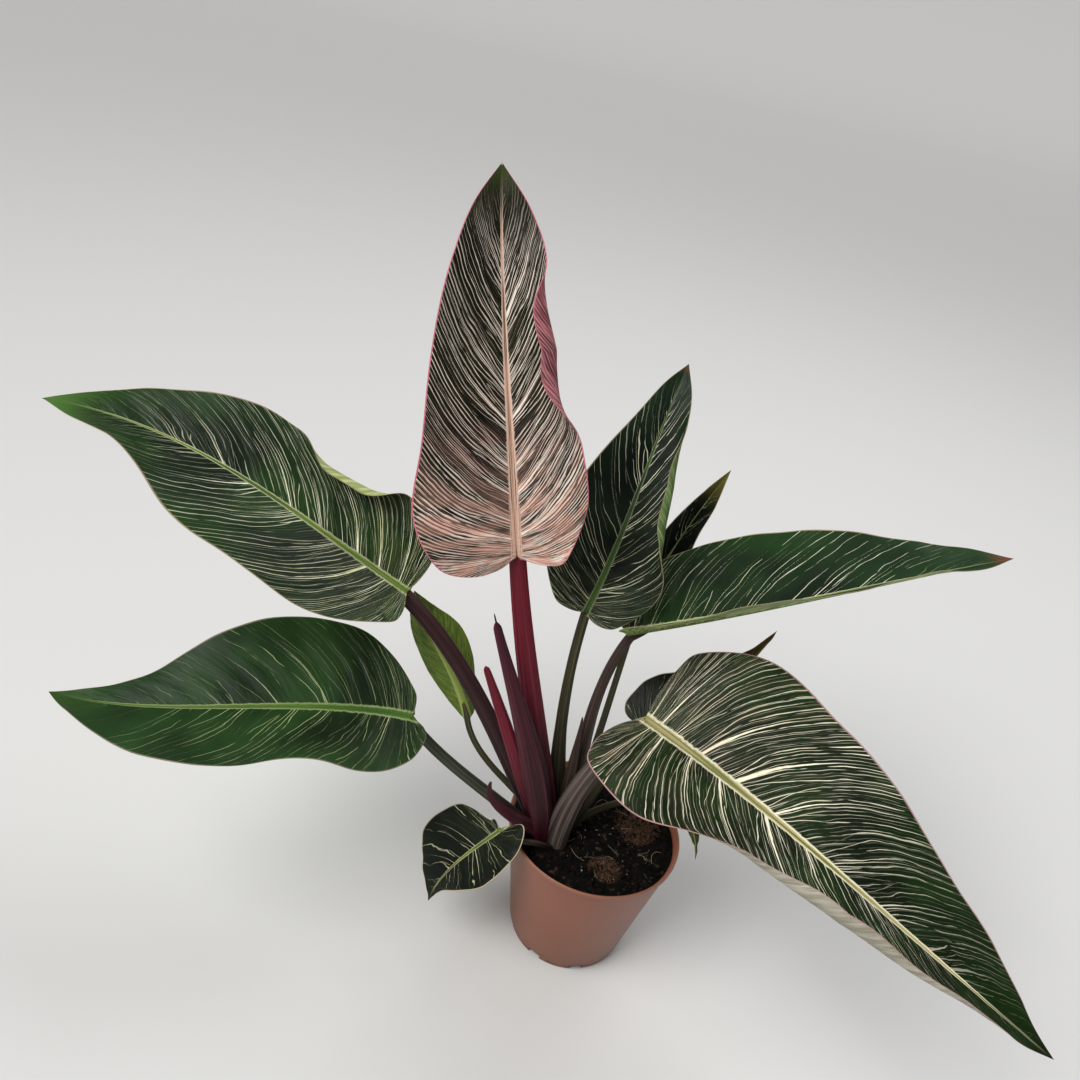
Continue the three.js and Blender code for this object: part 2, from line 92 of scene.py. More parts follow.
class Value:
    """A number socket that Python arithmetic extends with Math nodes."""

    __add__, __radd__ = operator("ADD"), operator("ADD", swapped=True)
    __sub__, __rsub__ = operator("SUBTRACT"), operator("SUBTRACT", swapped=True)
    __mul__, __rmul__ = operator("MULTIPLY"), operator("MULTIPLY", swapped=True)
    __truediv__, __pow__ = operator("DIVIDE"), operator("POWER")
    most = operator("MAXIMUM")

    def __init__(self, graph: Graph, socket: bpy.types.NodeSocket) -> None:
        """Wraps one output socket of a graph."""
        self.graph = graph
        self.socket = socket

    def math(self, operation: str, *terms: Any, clamp: bool = False) -> Value:
        """Adds one Math node.

        Args:
            operation: the node's operation.
            terms: its inputs, in order, as numbers or values.
            clamp: whether the result is kept between 0 and 1.

        Returns:
            The node's result.
        """
        settings = {"operation": operation, "use_clamp": clamp}
        return self.graph.value("ShaderNodeMath", settings, dict(enumerate(terms)))

    def __neg__(self) -> Value:
        """The value with its sign turned."""
        return self.math("MULTIPLY", self, -1.0)

    def __abs__(self) -> Value:
        """Size without its sign."""
        return self.math("ABSOLUTE", self)

    def floor(self) -> Value:
        """Next whole number below."""
        return self.math("FLOOR", self)

    def clamped(self) -> Value:
        """The value kept between 0 and 1."""
        return self.math("ADD", self, 0.0, clamp=True)

    def between(self, low: float, high: float) -> Value:
        """The value, which goes from 0 to 1, stretched to go from low to high."""
        return self * (high - low) + low

    def fall(self, low: Any, high: Any) -> Value:
        """Smooth step that is 1 up to low and 0 from high on."""
        return 1.0 - self.ramp(low, high)

    def ramp(self, low: Any, high: Any) -> Value:
        """Smooth step that is 0 up to low and 1 from high on."""
        inputs = {"Value": self, "From Min": low, "From Max": high}
        return self.graph.value("ShaderNodeMapRange", {"interpolation_type": "SMOOTHSTEP"}, inputs)


class Graph:
    """A node tree that is filled one node at a time."""

    def __init__(self, tree: bpy.types.NodeTree) -> None:
        """Wraps a shader or geometry tree."""
        self.tree = tree

    def add(self, kind: str, settings: Settings = None, inputs: Inputs = None) -> Any:
        """Adds one node.

        Args:
            kind: the node's type.
            settings: its properties, which are set first.
            inputs: its sockets by name or index, as constants, values or sockets.

        Returns:
            The node.
        """
        node = self.tree.nodes.new(kind)
        for name, setting in (settings or {}).items():
            setattr(node, name, setting)
        for key, term in (inputs or {}).items():
            self.feed(self.socket(node.inputs, key), term)
        return node

    @staticmethod
    def socket(sockets: Any, key: int | str) -> bpy.types.NodeSocket:
        """The socket at an index, or the enabled one of a name.

        Args:
            sockets: a node's inputs or outputs.
            key: the index or name.

        Returns:
            The socket.
        """
        if isinstance(key, int):
            return sockets[key]
        return next(item for item in sockets if item.name == key and item.enabled)

    def feed(self, socket: bpy.types.NodeSocket, term: Any) -> None:
        """Links a value or socket to an input, or sets it as a constant.

        Args:
            socket: the input.
            term: the value, socket or constant.
        """
        if isinstance(term, Value):
            term = term.socket
        if isinstance(term, bpy.types.NodeSocket):
            self.tree.links.new(term, socket)
        else:
            socket.default_value = term

    def value(self, kind: str, settings: Settings = None, inputs: Inputs = None,
              output: int | str = 0) -> Value:
        """Adds one node and returns one of its outputs as a value."""
        node = self.add(kind, settings, inputs)
        return Value(self, self.socket(node.outputs, output))

    def join(self, x: Any = 0.0, y: Any = 0.0, z: Any = 0.0) -> Value:
        """Vector of three numbers."""
        return self.value("ShaderNodeCombineXYZ", None, {0: x, 1: y, 2: z})

    def split(self, vector: Any) -> list[Value]:
        """The three numbers of a vector."""
        node = self.add("ShaderNodeSeparateXYZ", None, {0: vector})
        return [Value(self, output) for output in node.outputs]

    def vector(self, operation: str, *terms: Any, **inputs: Any) -> Value:
        """Result of one Vector Math node.

        Args:
            operation: the node's operation.
            terms: its inputs, in order.
            inputs: its inputs that have a name of their own.

        Returns:
            The node's result.
        """
        sockets = {**dict(enumerate(terms)), **inputs}
        output = "Value" if operation in {"LENGTH", "DOT_PRODUCT"} else "Vector"
        return self.value("ShaderNodeVectorMath", {"operation": operation}, sockets, output)

    def noise(self, vector: Any, scale: float, detail: float = 2.0, roughness: float = 0.5) -> Value:
        """Smooth noise between about 0.2 and 0.8."""
        inputs = {"Vector": vector, "Scale": scale, "Detail": detail, "Roughness": roughness}
        return self.value("ShaderNodeTexNoise", None, inputs)

    def wave(self, x: Any, y: Any, seed: float) -> Value:
        """Smooth noise over two numbers that belongs to a seed."""
        return self.noise(self.join(x, y, seed), 1.0)

    def draw(self, number: Any) -> Value:
        """Random number between 0 and 1 that belongs to a number."""
        return self.value("ShaderNodeTexWhiteNoise", {"noise_dimensions": "1D"}, {"W": number})

    def blend(self, first: Any, second: Any, share: Any) -> Value:
        """Colour between two colours, each a hex code, a value or a socket.

        Args:
            first: the colour at 0.
            second: the colour at 1.
            share: how much of the second there is, from 0 to 1.

        Returns:
            The colour.
        """
        first, second = (linear(term) if isinstance(term, int) else term for term in (first, second))
        settings = {"data_type": "RGBA", "clamp_factor": True}
        inputs = {"Factor": share, MIX_FIRST: first, MIX_SECOND: second}
        return self.value("ShaderNodeMix", settings, inputs, MIX_RESULT)


class Paint(Graph):
    """A material's graph, with one main shader."""

    def __init__(self, name: str) -> None:
        """Starts an empty material.

        Args:
            name: the material's name.
        """
        self.material = bpy.data.materials.new(name)
        self.material.use_nodes = True
        super().__init__(self.material.node_tree)
        self.tree.nodes.clear()
        self.shader = self.add("ShaderNodeBsdfPrincipled")
        output = self.add("ShaderNodeOutputMaterial")
        self.tree.links.new(self.shader.outputs[0], output.inputs[0])

    def attribute(self, name: str) -> Value:
        """Number that the mesh carries at each point."""
        return self.value("ShaderNodeAttribute", {"attribute_name": name}, output="Fac")

    def place(self) -> Value:
        """Position on the object, in metres."""
        return self.value("ShaderNodeTexCoord", output="Object")

    def layers(self, ground: Any, *coats: tuple[Any, Any]) -> Value:
        """Colours laid over a ground, one after another.

        Args:
            ground: the first colour.
            coats: each next colour and how much of what is below it covers.

        Returns:
            The colour on top.
        """
        for colour, share in coats:
            ground = self.blend(ground, colour, share)
        return ground

    def finish(self, colour: Any, roughness: Any, relief: Any = None, depth: float = 0.0002,
               specular: float = 0.5, coat: float = 0.0,
               coat_roughness: float = 0.2) -> bpy.types.Material:
        """Sets the shader's sockets.

        Args:
            colour: the surface colour.
            roughness: how matt it is.
            relief: height for the bump, from 0 to 1, or None.
            depth: the bump's depth in metres.
            specular: constant specular level.
            coat: constant weight of the clear wax or polish on it.
            coat_roughness: constant roughness of that coat.

        Returns:
            The material.
        """
        self.feed(self.shader.inputs["Base Color"], colour)
        self.feed(self.shader.inputs["Roughness"], roughness)
        self.shader.inputs["Specular IOR Level"].default_value = specular
        self.shader.inputs["Coat Weight"].default_value = coat
        self.shader.inputs["Coat Roughness"].default_value = coat_roughness
        if relief is not None:
            inputs = {"Strength": 1.0, "Distance": depth, "Height": relief}
            bump = self.add("ShaderNodeBump", None, inputs)
            self.tree.links.new(bump.outputs[0], self.shader.inputs["Normal"])
        return self.material


# Finishes

LEFT_HALF = 2.0  # Added to the vein numbers of a blade's left half
LANE_START, BUNDLE_START = 500.0, 5.0  # Keep the numbers of lanes and bundles above 0
# Steps that keep the random draws of lines, bundles and halves apart
LANE_STEP, BUNDLE_STEP, HALF_STEP, SIZE_STEP, GAP_STEP, PULSE_STEP = 3.7, 57.0, 3.37, 17.0, 31.0, 5.0


@dataclass(frozen=True)
class LeafSkin:
    """Colours and stripes of one kind of blade. Colours are sRGB hex codes, and widths are in metres.

    The side veins leave the midrib in bundles that fan out towards the margin. Widths of lines are shares
    of the lane that each has, gaps go from 0, unbroken, to 1, and tip_start is where the lines begin to
    fade. The sweep is how far a vein leans to the tip, and uneven is how much thinner the left half's are.
    """

    deep: int
    lush: int
    stripe: int
    flush: int
    rib: int
    rib_shade: int
    margin: int
    back: int
    back_shade: int
    tip: int = 0x2A3F1B
    tip_reach: float = 0.06
    bundles: float = 9.0
    stripes: float = 66.0
    stripe_width: float = 0.2
    hair: float = 0.3
    gaps: float = 0.4
    dash_rate: float = 9.0
    bold: float = 0.1
    flush_amount: float = 0.0
    rib_width: float = 0.0026
    rib_edge: float = 0.35
    uneven: float = 0.0
    margin_width: float = 0.014
    tip_start: float = 0.6
    tip_green: float = 0.3
    roughness: float = 0.34
    sweep: float = 0.04
    seed: float = 1.0

    @staticmethod
    def lines(paint: Paint, lane: Value, v: Value, width: Any, gaps: float, rate: float,
              seed: float) -> Value:
        """Pale lines, one in each lane of a coordinate.

        Args:
            paint: the material's graph.
            lane: the coordinate that the lanes count.
            v: place along the vein, from 0 at the midrib to 1 at the margin.
            width: half width of a line, as a share of its lane.
            gaps: how much of the lines is missing.
            rate: how often a line is broken.
            seed: changes the draw.

        Returns:
            A mask that is 1 on the lines.
        """
        number = lane.floor()
        offset = abs(lane - number - 0.5) * 2.0
        size = paint.draw(number + seed * SIZE_STEP).between(0.3, 1.5)
        pulse = paint.noise(paint.join(number * LANE_STEP, v * rate, seed * PULSE_STEP), 1.0, 2.0, 0.7)
        reach = width * size * (pulse.ramp(0.28, 0.62) + 0.15)
        line = ((reach - offset) / (reach * 0.4 + 0.03)).clamped()
        dash = pulse.ramp(0.3 + 0.2 * gaps, 0.37 + 0.22 * gaps)
        missing = gaps * 0.5
        present = paint.draw(number + seed * GAP_STEP).ramp(missing - 0.06, missing + 0.04)
        return line * dash * present

    def veined(self, paint: Paint, u: Value, v: Value, base: Value) -> tuple[Value, Value]:
        """Pale marks of the side veins.

        Args:
            paint: the material's graph.
            u: vein number from 0 to 1 along the margin.
            v: place along the vein.
            base: from 1 at the blade's base to 0.

        Returns:
            A mask of the bold veins and one of the fine lines.
        """
        sway = paint.wave(u * 11.0, v * 2.4, self.seed) - 0.5
        side = u.math("GREATER_THAN", u, LEFT_HALF - 0.5)
        share = u - side * LEFT_HALF
        lean = v**0.8 * (1.0 - share * 0.6) * self.sweep
        swept = share - lean + sway * 0.012 + side * HALF_STEP

        cell = swept * self.bundles + BUNDLE_START
        bundle = cell.floor()
        strength = paint.draw(bundle + self.seed * 3.0)
        place = cell - bundle - 0.5 - (paint.draw(bundle + self.seed) - 0.5) * 0.35
        narrow = share.between(0.2, 0.75)
        fanned = place / (v.ramp(0.0, 0.5) * (1.0 - narrow) + narrow)
        apart = 1.0 - abs(fanned).ramp(0.45, 0.55) * v.fall(0.35, 0.5)
        warm = base * base * (2.2 * self.flush_amount)
        swell = (1.0 + warm + v.fall(0.02, 0.4) * 0.6) * (1.0 - side * self.uneven)

        lane = fanned * (self.stripes / self.bundles) + bundle * BUNDLE_STEP + sway * 0.8
        width, gaps, rate, seed = self.stripe_width, self.gaps, self.dash_rate, self.seed
        fan = self.lines(paint, lane, v, swell * width, gaps * 0.8, rate, seed)
        plain = swept * self.stripes + LANE_START + sway * 0.5
        loose = self.lines(paint, plain, v, swell * (width * 0.7), gaps * 0.7 + 0.2, rate * 0.7, seed + 3)
        hairs = self.lines(paint, plain * 1.9, v, swell * 0.2, gaps, rate * 1.6, seed + 6)
        fine = (fan * apart * strength.between(0.7, 1.0)).most(loose * 0.75).most(hairs * self.hair)

        taper = (1.15 - v) ** 2.0 * (1.0 - share * 0.8)
        half = taper * strength.between(0.15, 1.45) * self.bold
        ragged = paint.wave(bundle * 2.3, v * 14.0, self.seed) + 0.3
        bold = (abs(place) / (half * ragged)).fall(0.6, 1.2)
        return bold * (1.0 - v.ramp(0.55, 1.0) * 0.7), fine

    def material(self, name: str) -> bpy.types.Material:
        """Builds the blade's material.

        Args:
            name: the material's name.

        Returns:
            The material, which reads the mesh's veins map and its point numbers.
        """
        paint = Paint(name)
        u, v, _ = paint.split(paint.value("ShaderNodeUVMap", {"uv_map": "veins"}))
        along, across = paint.attribute("along"), paint.attribute("across")
        under = paint.attribute("under").ramp(0.45, 0.55)
        place = paint.place()
        cloud = paint.noise(place, 24.0)
        streak = paint.wave(u * 70.0, v * 3.0, self.seed)
        blush = paint.wave(u * 26.0, v * 2.2, self.seed + 4)
        base = along.fall(-0.05, 0.6)
        bold, fine = self.veined(paint, u, v, base)
        pale = (fine * 0.94).most(bold) * (1.0 - along.ramp(self.tip_start, 0.97) * 0.95)

        outer = (along.ramp(0.6, 1.0) + v.ramp(0.45, 1.0) * 0.7) * self.tip_green
        ground = paint.layers(
            self.deep,
            (self.lush, cloud.ramp(0.36, 0.68) * 0.7 + streak * 0.2),
            (self.lush, outer.clamped()),
            (self.flush, base * base * blush.ramp(0.35, 0.65) * (self.flush_amount * 0.35)),
        )
        line = paint.blend(self.stripe, self.flush, blush.ramp(0.35, 0.62) * base)

        ragged = paint.wave(u * self.bundles * 9.0, across * 120.0, self.seed + 9).between(0.7, 1.3)
        reach = (1.0 - along).most(0.0) ** 1.1 * self.rib_width + 0.0003
        ratio = across / (reach * ragged)
        rib = ratio.fall(0.8, 1.1)
        groove = paint.wave(across * 1300.0, along * 3.5, self.seed)
        rib_edge = ratio.ramp(0.45, 0.8) * self.rib_edge
        rib_colour = paint.layers(self.rib, (self.rib_shade, groove.ramp(0.42, 0.6)), (line, rib_edge))

        rim = v.ramp(1.0 - self.margin_width, 1.0 - self.margin_width * 0.4)
        top = paint.layers(
            ground,
            (line, pale),
            (rib_colour, rib * (1.0 - along.ramp(0.75, 1.0) * 0.7)),
            (self.tip, along.ramp(1.0 - self.tip_reach, 1.0)),
            (self.margin, rim),
        )
        below = paint.layers(
            self.back,
            (self.back_shade, streak.ramp(0.35, 0.6) * 0.8 + cloud * 0.2),
            (self.stripe, fine * 0.3),
            (self.rib, rib * 0.8),
            (self.margin, rim * 0.7),
        )
        shine = self.roughness + cloud * 0.16 + pale * 0.08 + under * 0.12
        relief = streak * 0.6 + paint.noise(place, 900.0, 1.0) * 0.08
        return paint.finish(paint.blend(top, below, under), shine, relief, 0.0006, specular=0.12)


@dataclass(frozen=True)
class StalkSkin:
    """Colours of a stalk or sheath as sRGB hex codes, with painted highlight and painted shade."""

    foot: int
    head: int
    # Colour of the painted highlight
    painted_highlight: int
    # Dark colour: painted shade in the bump's grooves, and the skin's own specks
    groove: int
    # How much painted highlight there is
    highlight_strength: float = 0.5
    roughness: float = 0.4
    seed: float = 0.0

    def material(self, name: str) -> bpy.types.Material:
        """Builds the stalk's material, whose dark lines and painted highlights run along it.

        Args:
            name: the material's name.

        Returns:
            The material, which reads the sweep's place along and around the stalk.
        """
        paint = Paint(name)
        along = paint.attribute("share")
        ring = paint.join(paint.attribute("ring_x"), paint.attribute("ring_y"), along * 0.35 + self.seed)
        fine = paint.noise(ring, 9.0, 4.0, 0.6)
        broad = paint.noise(ring, 2.2)
        place = paint.place()
        speck = paint.noise(place, 1600.0)
        mottle = paint.noise(place, 90.0, 3.0)
        colour = paint.layers(
            self.foot,
            (self.head, along.ramp(0.1, 0.75)),
            # Painted highlight in broad bands along the stalk
            (self.painted_highlight, broad.ramp(0.48, 0.68) * self.highlight_strength),
            # Painted shade in the grooves of the bump, where fine is low
            (self.groove, fine.fall(0.34, 0.46) * 0.75),
            # Painted highlight on the ridges of the bump, where fine is high
            (self.painted_highlight, fine.ramp(0.58, 0.7) * self.highlight_strength * 0.7),
            # The skin's own dark specks
            (self.groove, speck.ramp(0.6, 0.75) * 0.35),
        )
        shine = self.roughness + mottle * 0.16
        relief = fine * 0.7 + speck * 0.1
        return paint.finish(colour, shine, relief, 0.0005, specular=0.25, coat=0.04, coat_roughness=0.3)


@dataclass(frozen=True)
class PotPlastic:
    """Thin moulded plastic, satin, a little scuffed near its foot, with a painted highlight on its lip."""

    body: int = 0x87503A
    # Paler tone in random clouds, and also the painted highlight on the lip's top
    light: int = 0x9A664F
    # Darker colour, towards the bottom and in the scuffs at the foot
    low_dark: int = 0x54301F
    dust: int = 0xB59A8A

    def material(self, name: str) -> bpy.types.Material:
        """Builds the pot's material.

        Args:
            name: the material's name.

        Returns:
            The material.
        """
        paint = Paint(name)
        place = paint.place()
        _, _, height = paint.split(place)
        cloud = paint.noise(place, 16.0, 3.0)
        fine = paint.noise(place, 2200.0)
        mark = paint.noise(place, 160.0, 5.0, 0.7)
        rings = paint.noise(paint.join(0.0, 0.0, height * 900.0), 1.0, 1.0)
        colour = paint.layers(
            self.body,
            (self.light, cloud.ramp(0.35, 0.7) * 0.5),
            # Painted highlight: the top of the lip paler
            (self.light, height.ramp(0.0885, 0.0908) * 0.6),
            # Darker towards the bottom
            (self.low_dark, height.fall(0.0, 0.07) * 0.35),
            # Scuff marks near the foot
            (self.low_dark, height.fall(0.001, 0.012) * mark.ramp(0.4, 0.65) * 0.8),
            (self.dust, mark.ramp(0.66, 0.74) * 0.4),
        )
        shine = 0.34 + cloud * 0.12 + mark.ramp(0.6, 0.75) * 0.2
        return paint.finish(colour, shine, fine * 0.3 + rings * 0.25, 0.0001)


@dataclass(frozen=True)
class Peat:
    """Damp dark potting soil with brown flecks."""

    damp: int = 0x050403
    dry: int = 0x1A130E
    fleck: int = 0x3E2D21

    def material(self, name: str) -> bpy.types.Material:
        """Builds the soil's material.

        Args:
            name: the material's name.

        Returns:
            The material.
        """
        paint = Paint(name)
        place = paint.place()
        lumps = paint.noise(place, 240.0, 5.0, 0.65)
        patch = paint.noise(place, 45.0, 3.0)
        cell = paint.value("ShaderNodeTexVoronoi", None, {"Vector": place, "Scale": 620.0}, "Color")
        chance, _, tint = paint.split(cell)
        colour = paint.layers(
            self.damp,
            (self.dry, lumps.ramp(0.4, 0.72) * patch.ramp(0.3, 0.7)),
            (self.fleck, chance.ramp(0.9, 0.95) * tint * 0.8),
        )
        shine = 0.95 - chance.ramp(0.8, 0.9) * 0.35
        return paint.finish(colour, shine, lumps, 0.0012, specular=0.12)


@dataclass(frozen=True)
class Fibre:
    """Dry strands, such as coir or a root, of one colour that varies from strand to strand."""

    body: int
    shade: int
    roughness: float = 0.7

    def material(self, name: str) -> bpy.types.Material:
        """Builds the strand's material.

        Args:
            name: the material's name.

        Returns:
            The material.
        """
        paint = Paint(name)
        tone = paint.noise(paint.place(), 420.0)
        colour = paint.blend(self.shade, self.body, tone.ramp(0.35, 0.65))
        return paint.finish(colour, self.roughness + tone * 0.1, tone, 0.0001, specular=0.3)


PINK = LeafSkin(
    deep=0x060601, lush=0x1B1C07, stripe=0xFFF0E0, flush=0xF6BFAC, rib=0xD6AC97, rib_shade=0x5A4E34,
    margin=0xCB7484, back=0xB2646F, back_shade=0x5A2430, tip=0x38401C, tip_reach=0.09, bundles=11.0,
    stripes=78.0, stripe_width=0.27, hair=0.1, gaps=0.12, dash_rate=4.5, bold=0.065, flush_amount=0.9,
    rib_width=0.0034, seed=2.0, tip_start=0.7, tip_green=0.2, sweep=0.17, uneven=0.28,
)
CREAM = LeafSkin(
    deep=0x050D01, lush=0x17300A, stripe=0xFFF9DC, flush=0xEFDDBE, rib=0xB3A676, rib_shade=0x667034,
    margin=0xA98580, back=0xB4AFA0, back_shade=0x8B8776, tip=0x0D1806, bundles=10.0, stripes=64.0,
    stripe_width=0.13, hair=0.1, gaps=0.28, dash_rate=4.5, bold=0.08, flush_amount=0.06,
    rib_width=0.0042, seed=5.0, tip_start=0.35, tip_green=0.3, sweep=0.06, rib_edge=0.75,
)
GREEN = LeafSkin(
    deep=0x08130B, lush=0x203D14, stripe=0xFCFCDA, flush=0xD0D29C, rib=0x73873A, rib_shade=0x42591F,
    margin=0x8F8262, back=0xBBC18C, back_shade=0x84934F, tip=0x4A6E30, tip_reach=0.16, stripes=58.0,
    stripe_width=0.115, hair=0.05, gaps=0.3, dash_rate=3.5, bold=0.04, flush_amount=0.1, seed=8.0,
    tip_start=0.3, tip_green=0.55, rib_width=0.0027, sweep=0.08,
)
NIGHT = LeafSkin(
    deep=0x0C190A, lush=0x2A4822, stripe=0xC9D29C, flush=0xB9C48A, rib=0x54722C, rib_shade=0x375722,
    margin=0x77705A, back=0x6F8D46, back_shade=0x4E6C30, tip=0x2F4A1D, tip_reach=0.2, stripes=34.0,
    stripe_width=0.07, hair=0.0, gaps=0.62, bold=0.02, dash_rate=3.0, flush_amount=0.05, seed=11.0,
    tip_start=0.08, tip_green=0.45, rib_width=0.0032,
)
LIME = LeafSkin(
    deep=0x1C2C10, lush=0x304A1A, stripe=0xB9C47E, flush=0xA9B86C, rib=0x9AA95A, rib_shade=0x72853C,
    margin=0x8A8458, back=0x6A8030, back_shade=0x46581E, stripes=40.0, stripe_width=0.12, gaps=0.6,
    bundles=6.0, bold=0.02, seed=14.0, roughness=0.42,
)
DARK_LINED = replace(
    GREEN, deep=0x060D08, lush=0x1A2B1B, stripes=27.0, bundles=8.0, stripe_width=0.095, gaps=0.46, hair=0.0,
    dash_rate=2.5, back=0x6E8350, back_shade=0x435A2E, rib=0x24381A, rib_shade=0x46602C, tip=0x5B4026,
    tip_reach=0.05, seed=21.0, tip_start=0.62, bold=0.03, rib_edge=0.15, rib_width=0.0024, sweep=0.17,
)
RIGHT_LEVEL = replace(
    GREEN, deep=0x0A160B, lush=0x1B3814, stripes=30.0, bundles=9.0, stripe_width=0.065, gaps=0.55,
    hair=0.0, dash_rate=3.5, back=0xC3D08F, back_shade=0x557A2E, sweep=0.16, tip=0x6B3E2A,
    tip_reach=0.07, seed=24.0, tip_start=0.6, bold=0.02,
)
SMALL_FORKED = replace(
    NIGHT, deep=0x060A05, lush=0x121C10, stripe=0xCFCAA6, rib=0x6F7B38, rib_shade=0x4C5A26, margin=0xB9A98A,
    bundles=5.0, stripes=10.0, stripe_width=0.055, gaps=0.5, bold=0.03, dash_rate=3.5, seed=27.0,
    tip_start=0.6, rib_width=0.0013, margin_width=0.02, rib_edge=0.5, tip=0x161C10, tip_green=0.0,
)
TWISTED = replace(SMALL_FORKED, tip=0x6F6A30, tip_reach=0.3, seed=31.0, tip_green=0.3)
BROWN_TIP = replace(
    SMALL_FORKED, tip=0x5E4724, tip_reach=0.35, back=0x6A5A30, back_shade=0x44401F, seed=33.0,
)
CRIMSON = StalkSkin(foot=0x3A0B15, head=0x690F22, painted_highlight=0x8E3348, groove=0x27070F, highlight_strength=0.5, seed=1.0)
MAROON = StalkSkin(foot=0x2C0810, head=0x3A0A17, painted_highlight=0x7A3548, groove=0x150409, highlight_strength=0.55, seed=2.0)
PLUM = StalkSkin(foot=0x20110F, head=0x2E1517, painted_highlight=0x4A2C2D, groove=0x120707, highlight_strength=0.4, seed=3.0)
OLIVE = StalkSkin(foot=0x29251A, head=0x3A3822, painted_highlight=0x6A6542, groove=0x17140D, highlight_strength=0.45, seed=4.0)
SLATE = StalkSkin(foot=0x28261F, head=0x333A2C, painted_highlight=0x5E6150, groove=0x131210, highlight_strength=0.4, seed=5.0)
UMBER = StalkSkin(foot=0x261B16, head=0x382A22, painted_highlight=0x6E5C55, groove=0x18100E, highlight_strength=0.45, seed=6.0)
STONE = StalkSkin(foot=0x2E2422, head=0x463B34, painted_highlight=0x7E7069, groove=0x1B1413, highlight_strength=0.65, seed=7.0)


# Leaves

STATIONS = np.array([0.0, 0.15, 0.35, 0.55, 0.75, 0.9, 1.0])
TIP_WIDTH = 2.0
SPINE_POINTS = 401
CURVE_STEPS = 800  # Even steps that a margin is rounded in
ROLL_STEPS = 40  # Straight steps from the midrib to the margin
ROLL_EASE = 0.4  # Share of a rolled stretch in which the roll grows or ends
QUILTS = 17  # Low swells between the veins of one half
CALM_TIP = 0.1  # Last share of the length, in which ripples die out
FLATTER_FROM, FLATTER_RATE, LEAST_FOLD = 0.8, 3, 0.4  # How the fold opens towards the tip
VEIN_LEAN, VEIN_ARCH = 0.25, 0.6  # Where a vein bends on its way out
BLADE_ROWS = np.array([
    0, 0.012, 0.025, 0.04, 0.06, 0.09, 0.13, 0.18, 0.24, 0.3, 0.37, 0.44, 0.51, 0.58, 0.65, 0.71, 0.77,
    0.82, 0.87, 0.91, 0.945, 0.975, 1.0,
])


class Side(Enum):
    """The two halves of a blade, seen on its upper face with the tip up."""

    LEFT = -1
    RIGHT = 1


@dataclass(frozen=True)
class Margin:
    """Outline and bends of one half of a blade, in millimetres.

    Widths are at the stations of the length. The lobe is how far it reaches back and its distance from the
    midrib there. The wave is the height, count and phase of the ripple. The roll is a stretch of margin
    that curls over the face: where it starts and ends, its degrees, and the share of the half width that
    stays flat.
    """

    widths: tuple[float, ...]
    lobe: Pair
    wave: Triple
    roll: Quad | None = None


@dataclass(frozen=True)
class Leaf:
    """One leaf: its blade and its stalk, in millimetres.

    The midrib is four points of a cubic curve from base to tip, and the face is the way the upper face
    looks at the base and at the tip. The fold is the degrees that each half is raised. The petiole is three
    points of the stalk's curve, which ends under the blade, and quilt is how high the blade swells between
    its veins.
    """

    name: str
    skin: LeafSkin
    stalk_skin: StalkSkin
    slots: tuple[str, str]
    midrib: tuple[Triple, ...]
    face: tuple[Triple, Triple]
    fold: float
    left: Margin
    right: Margin
    petiole: tuple[Triple, ...]
    widths: tuple[float, ...]
    columns: int = 150
    quilt: float = 0.22

    def margin(self, side: Side) -> Margin:
        """The margin of one half."""
        return self.left if side is Side.LEFT else self.right


def bezier(points: Sequence[Triple], shares: np.ndarray) -> np.ndarray:
    """Points of a cubic curve at shares of its parameter."""
    p, t = np.array(points, float), shares[..., None]
    return (1 - t) ** 3 * p[0] + 3 * (1 - t) ** 2 * t * p[1] + 3 * (1 - t) * t * t * p[2] + t**3 * p[3]


def unit(vectors: np.ndarray) -> np.ndarray:
    """Vectors of length 1."""
    length = np.linalg.norm(vectors, axis=-1, keepdims=True)
    return vectors / np.maximum(length, 1e-12)


def reaches(line: np.ndarray, power: float = 1.0) -> np.ndarray:
    """Distance along a line at each of its points, with each step raised to a power."""
    return np.r_[0, np.cumsum(np.linalg.norm(np.diff(line, axis=0), axis=1) ** power)]


def read(line: np.ndarray, reach: np.ndarray, at: np.ndarray) -> np.ndarray:
    """Points of a line, whose own points lie at distances reach, at other distances."""
    return np.stack([np.interp(at, reach, line[:, axis]) for axis in range(line.shape[1])], -1)


def spaced(line: np.ndarray, shares: np.ndarray) -> np.ndarray:
    """Points at shares of a line's length."""
    reach = reaches(line)
    return read(line, reach, shares * reach[-1])


def mix(t: np.ndarray, start: float, end: float, first: np.ndarray, last: np.ndarray) -> np.ndarray:
    """Points on the way from the first, at start, to the last, at end."""
    return (end - t) / (end - start) * first + (t - start) / (end - start) * last


def even_curve(points: np.ndarray, shares: np.ndarray, half_window: int = 18) -> np.ndarray:
    """Centripetal curve through points, with rounded corners, read at shares of its length.

    Args:
        points: the points it passes by.
        shares: places from 0 to 1.
        half_window: half of the stretch, in even steps, that rounds its corners.

    Returns:
        A point for each share.
    """
    ends = np.vstack([2 * points[0] - points[1], points, 2 * points[-1] - points[-2]])
    knots = reaches(ends, 0.5)
    dense = []
    for index in range(len(points) - 1):
        t0, t1, t2, t3 = knots[index:index + 4]
        a, b, c, d = ends[index:index + 4]
        t = np.linspace(t1, t2, 40)[:, None]
        first, middle, last = mix(t, t0, t1, a, b), mix(t, t1, t2, b, c), mix(t, t2, t3, c, d)
        dense.append(mix(t, t1, t2, mix(t, t0, t2, first, middle), mix(t, t1, t3, middle, last)))
    even = spaced(np.vstack(dense), np.linspace(0, 1, CURVE_STEPS + 1))
    kernel = np.hanning(2 * half_window + 1)
    kernel /= kernel.sum()
    padded = [np.pad(column, half_window, mode="reflect", reflect_type="odd") for column in even.T]
    return spaced(np.column_stack([np.convolve(column, kernel, "valid") for column in padded]), shares)


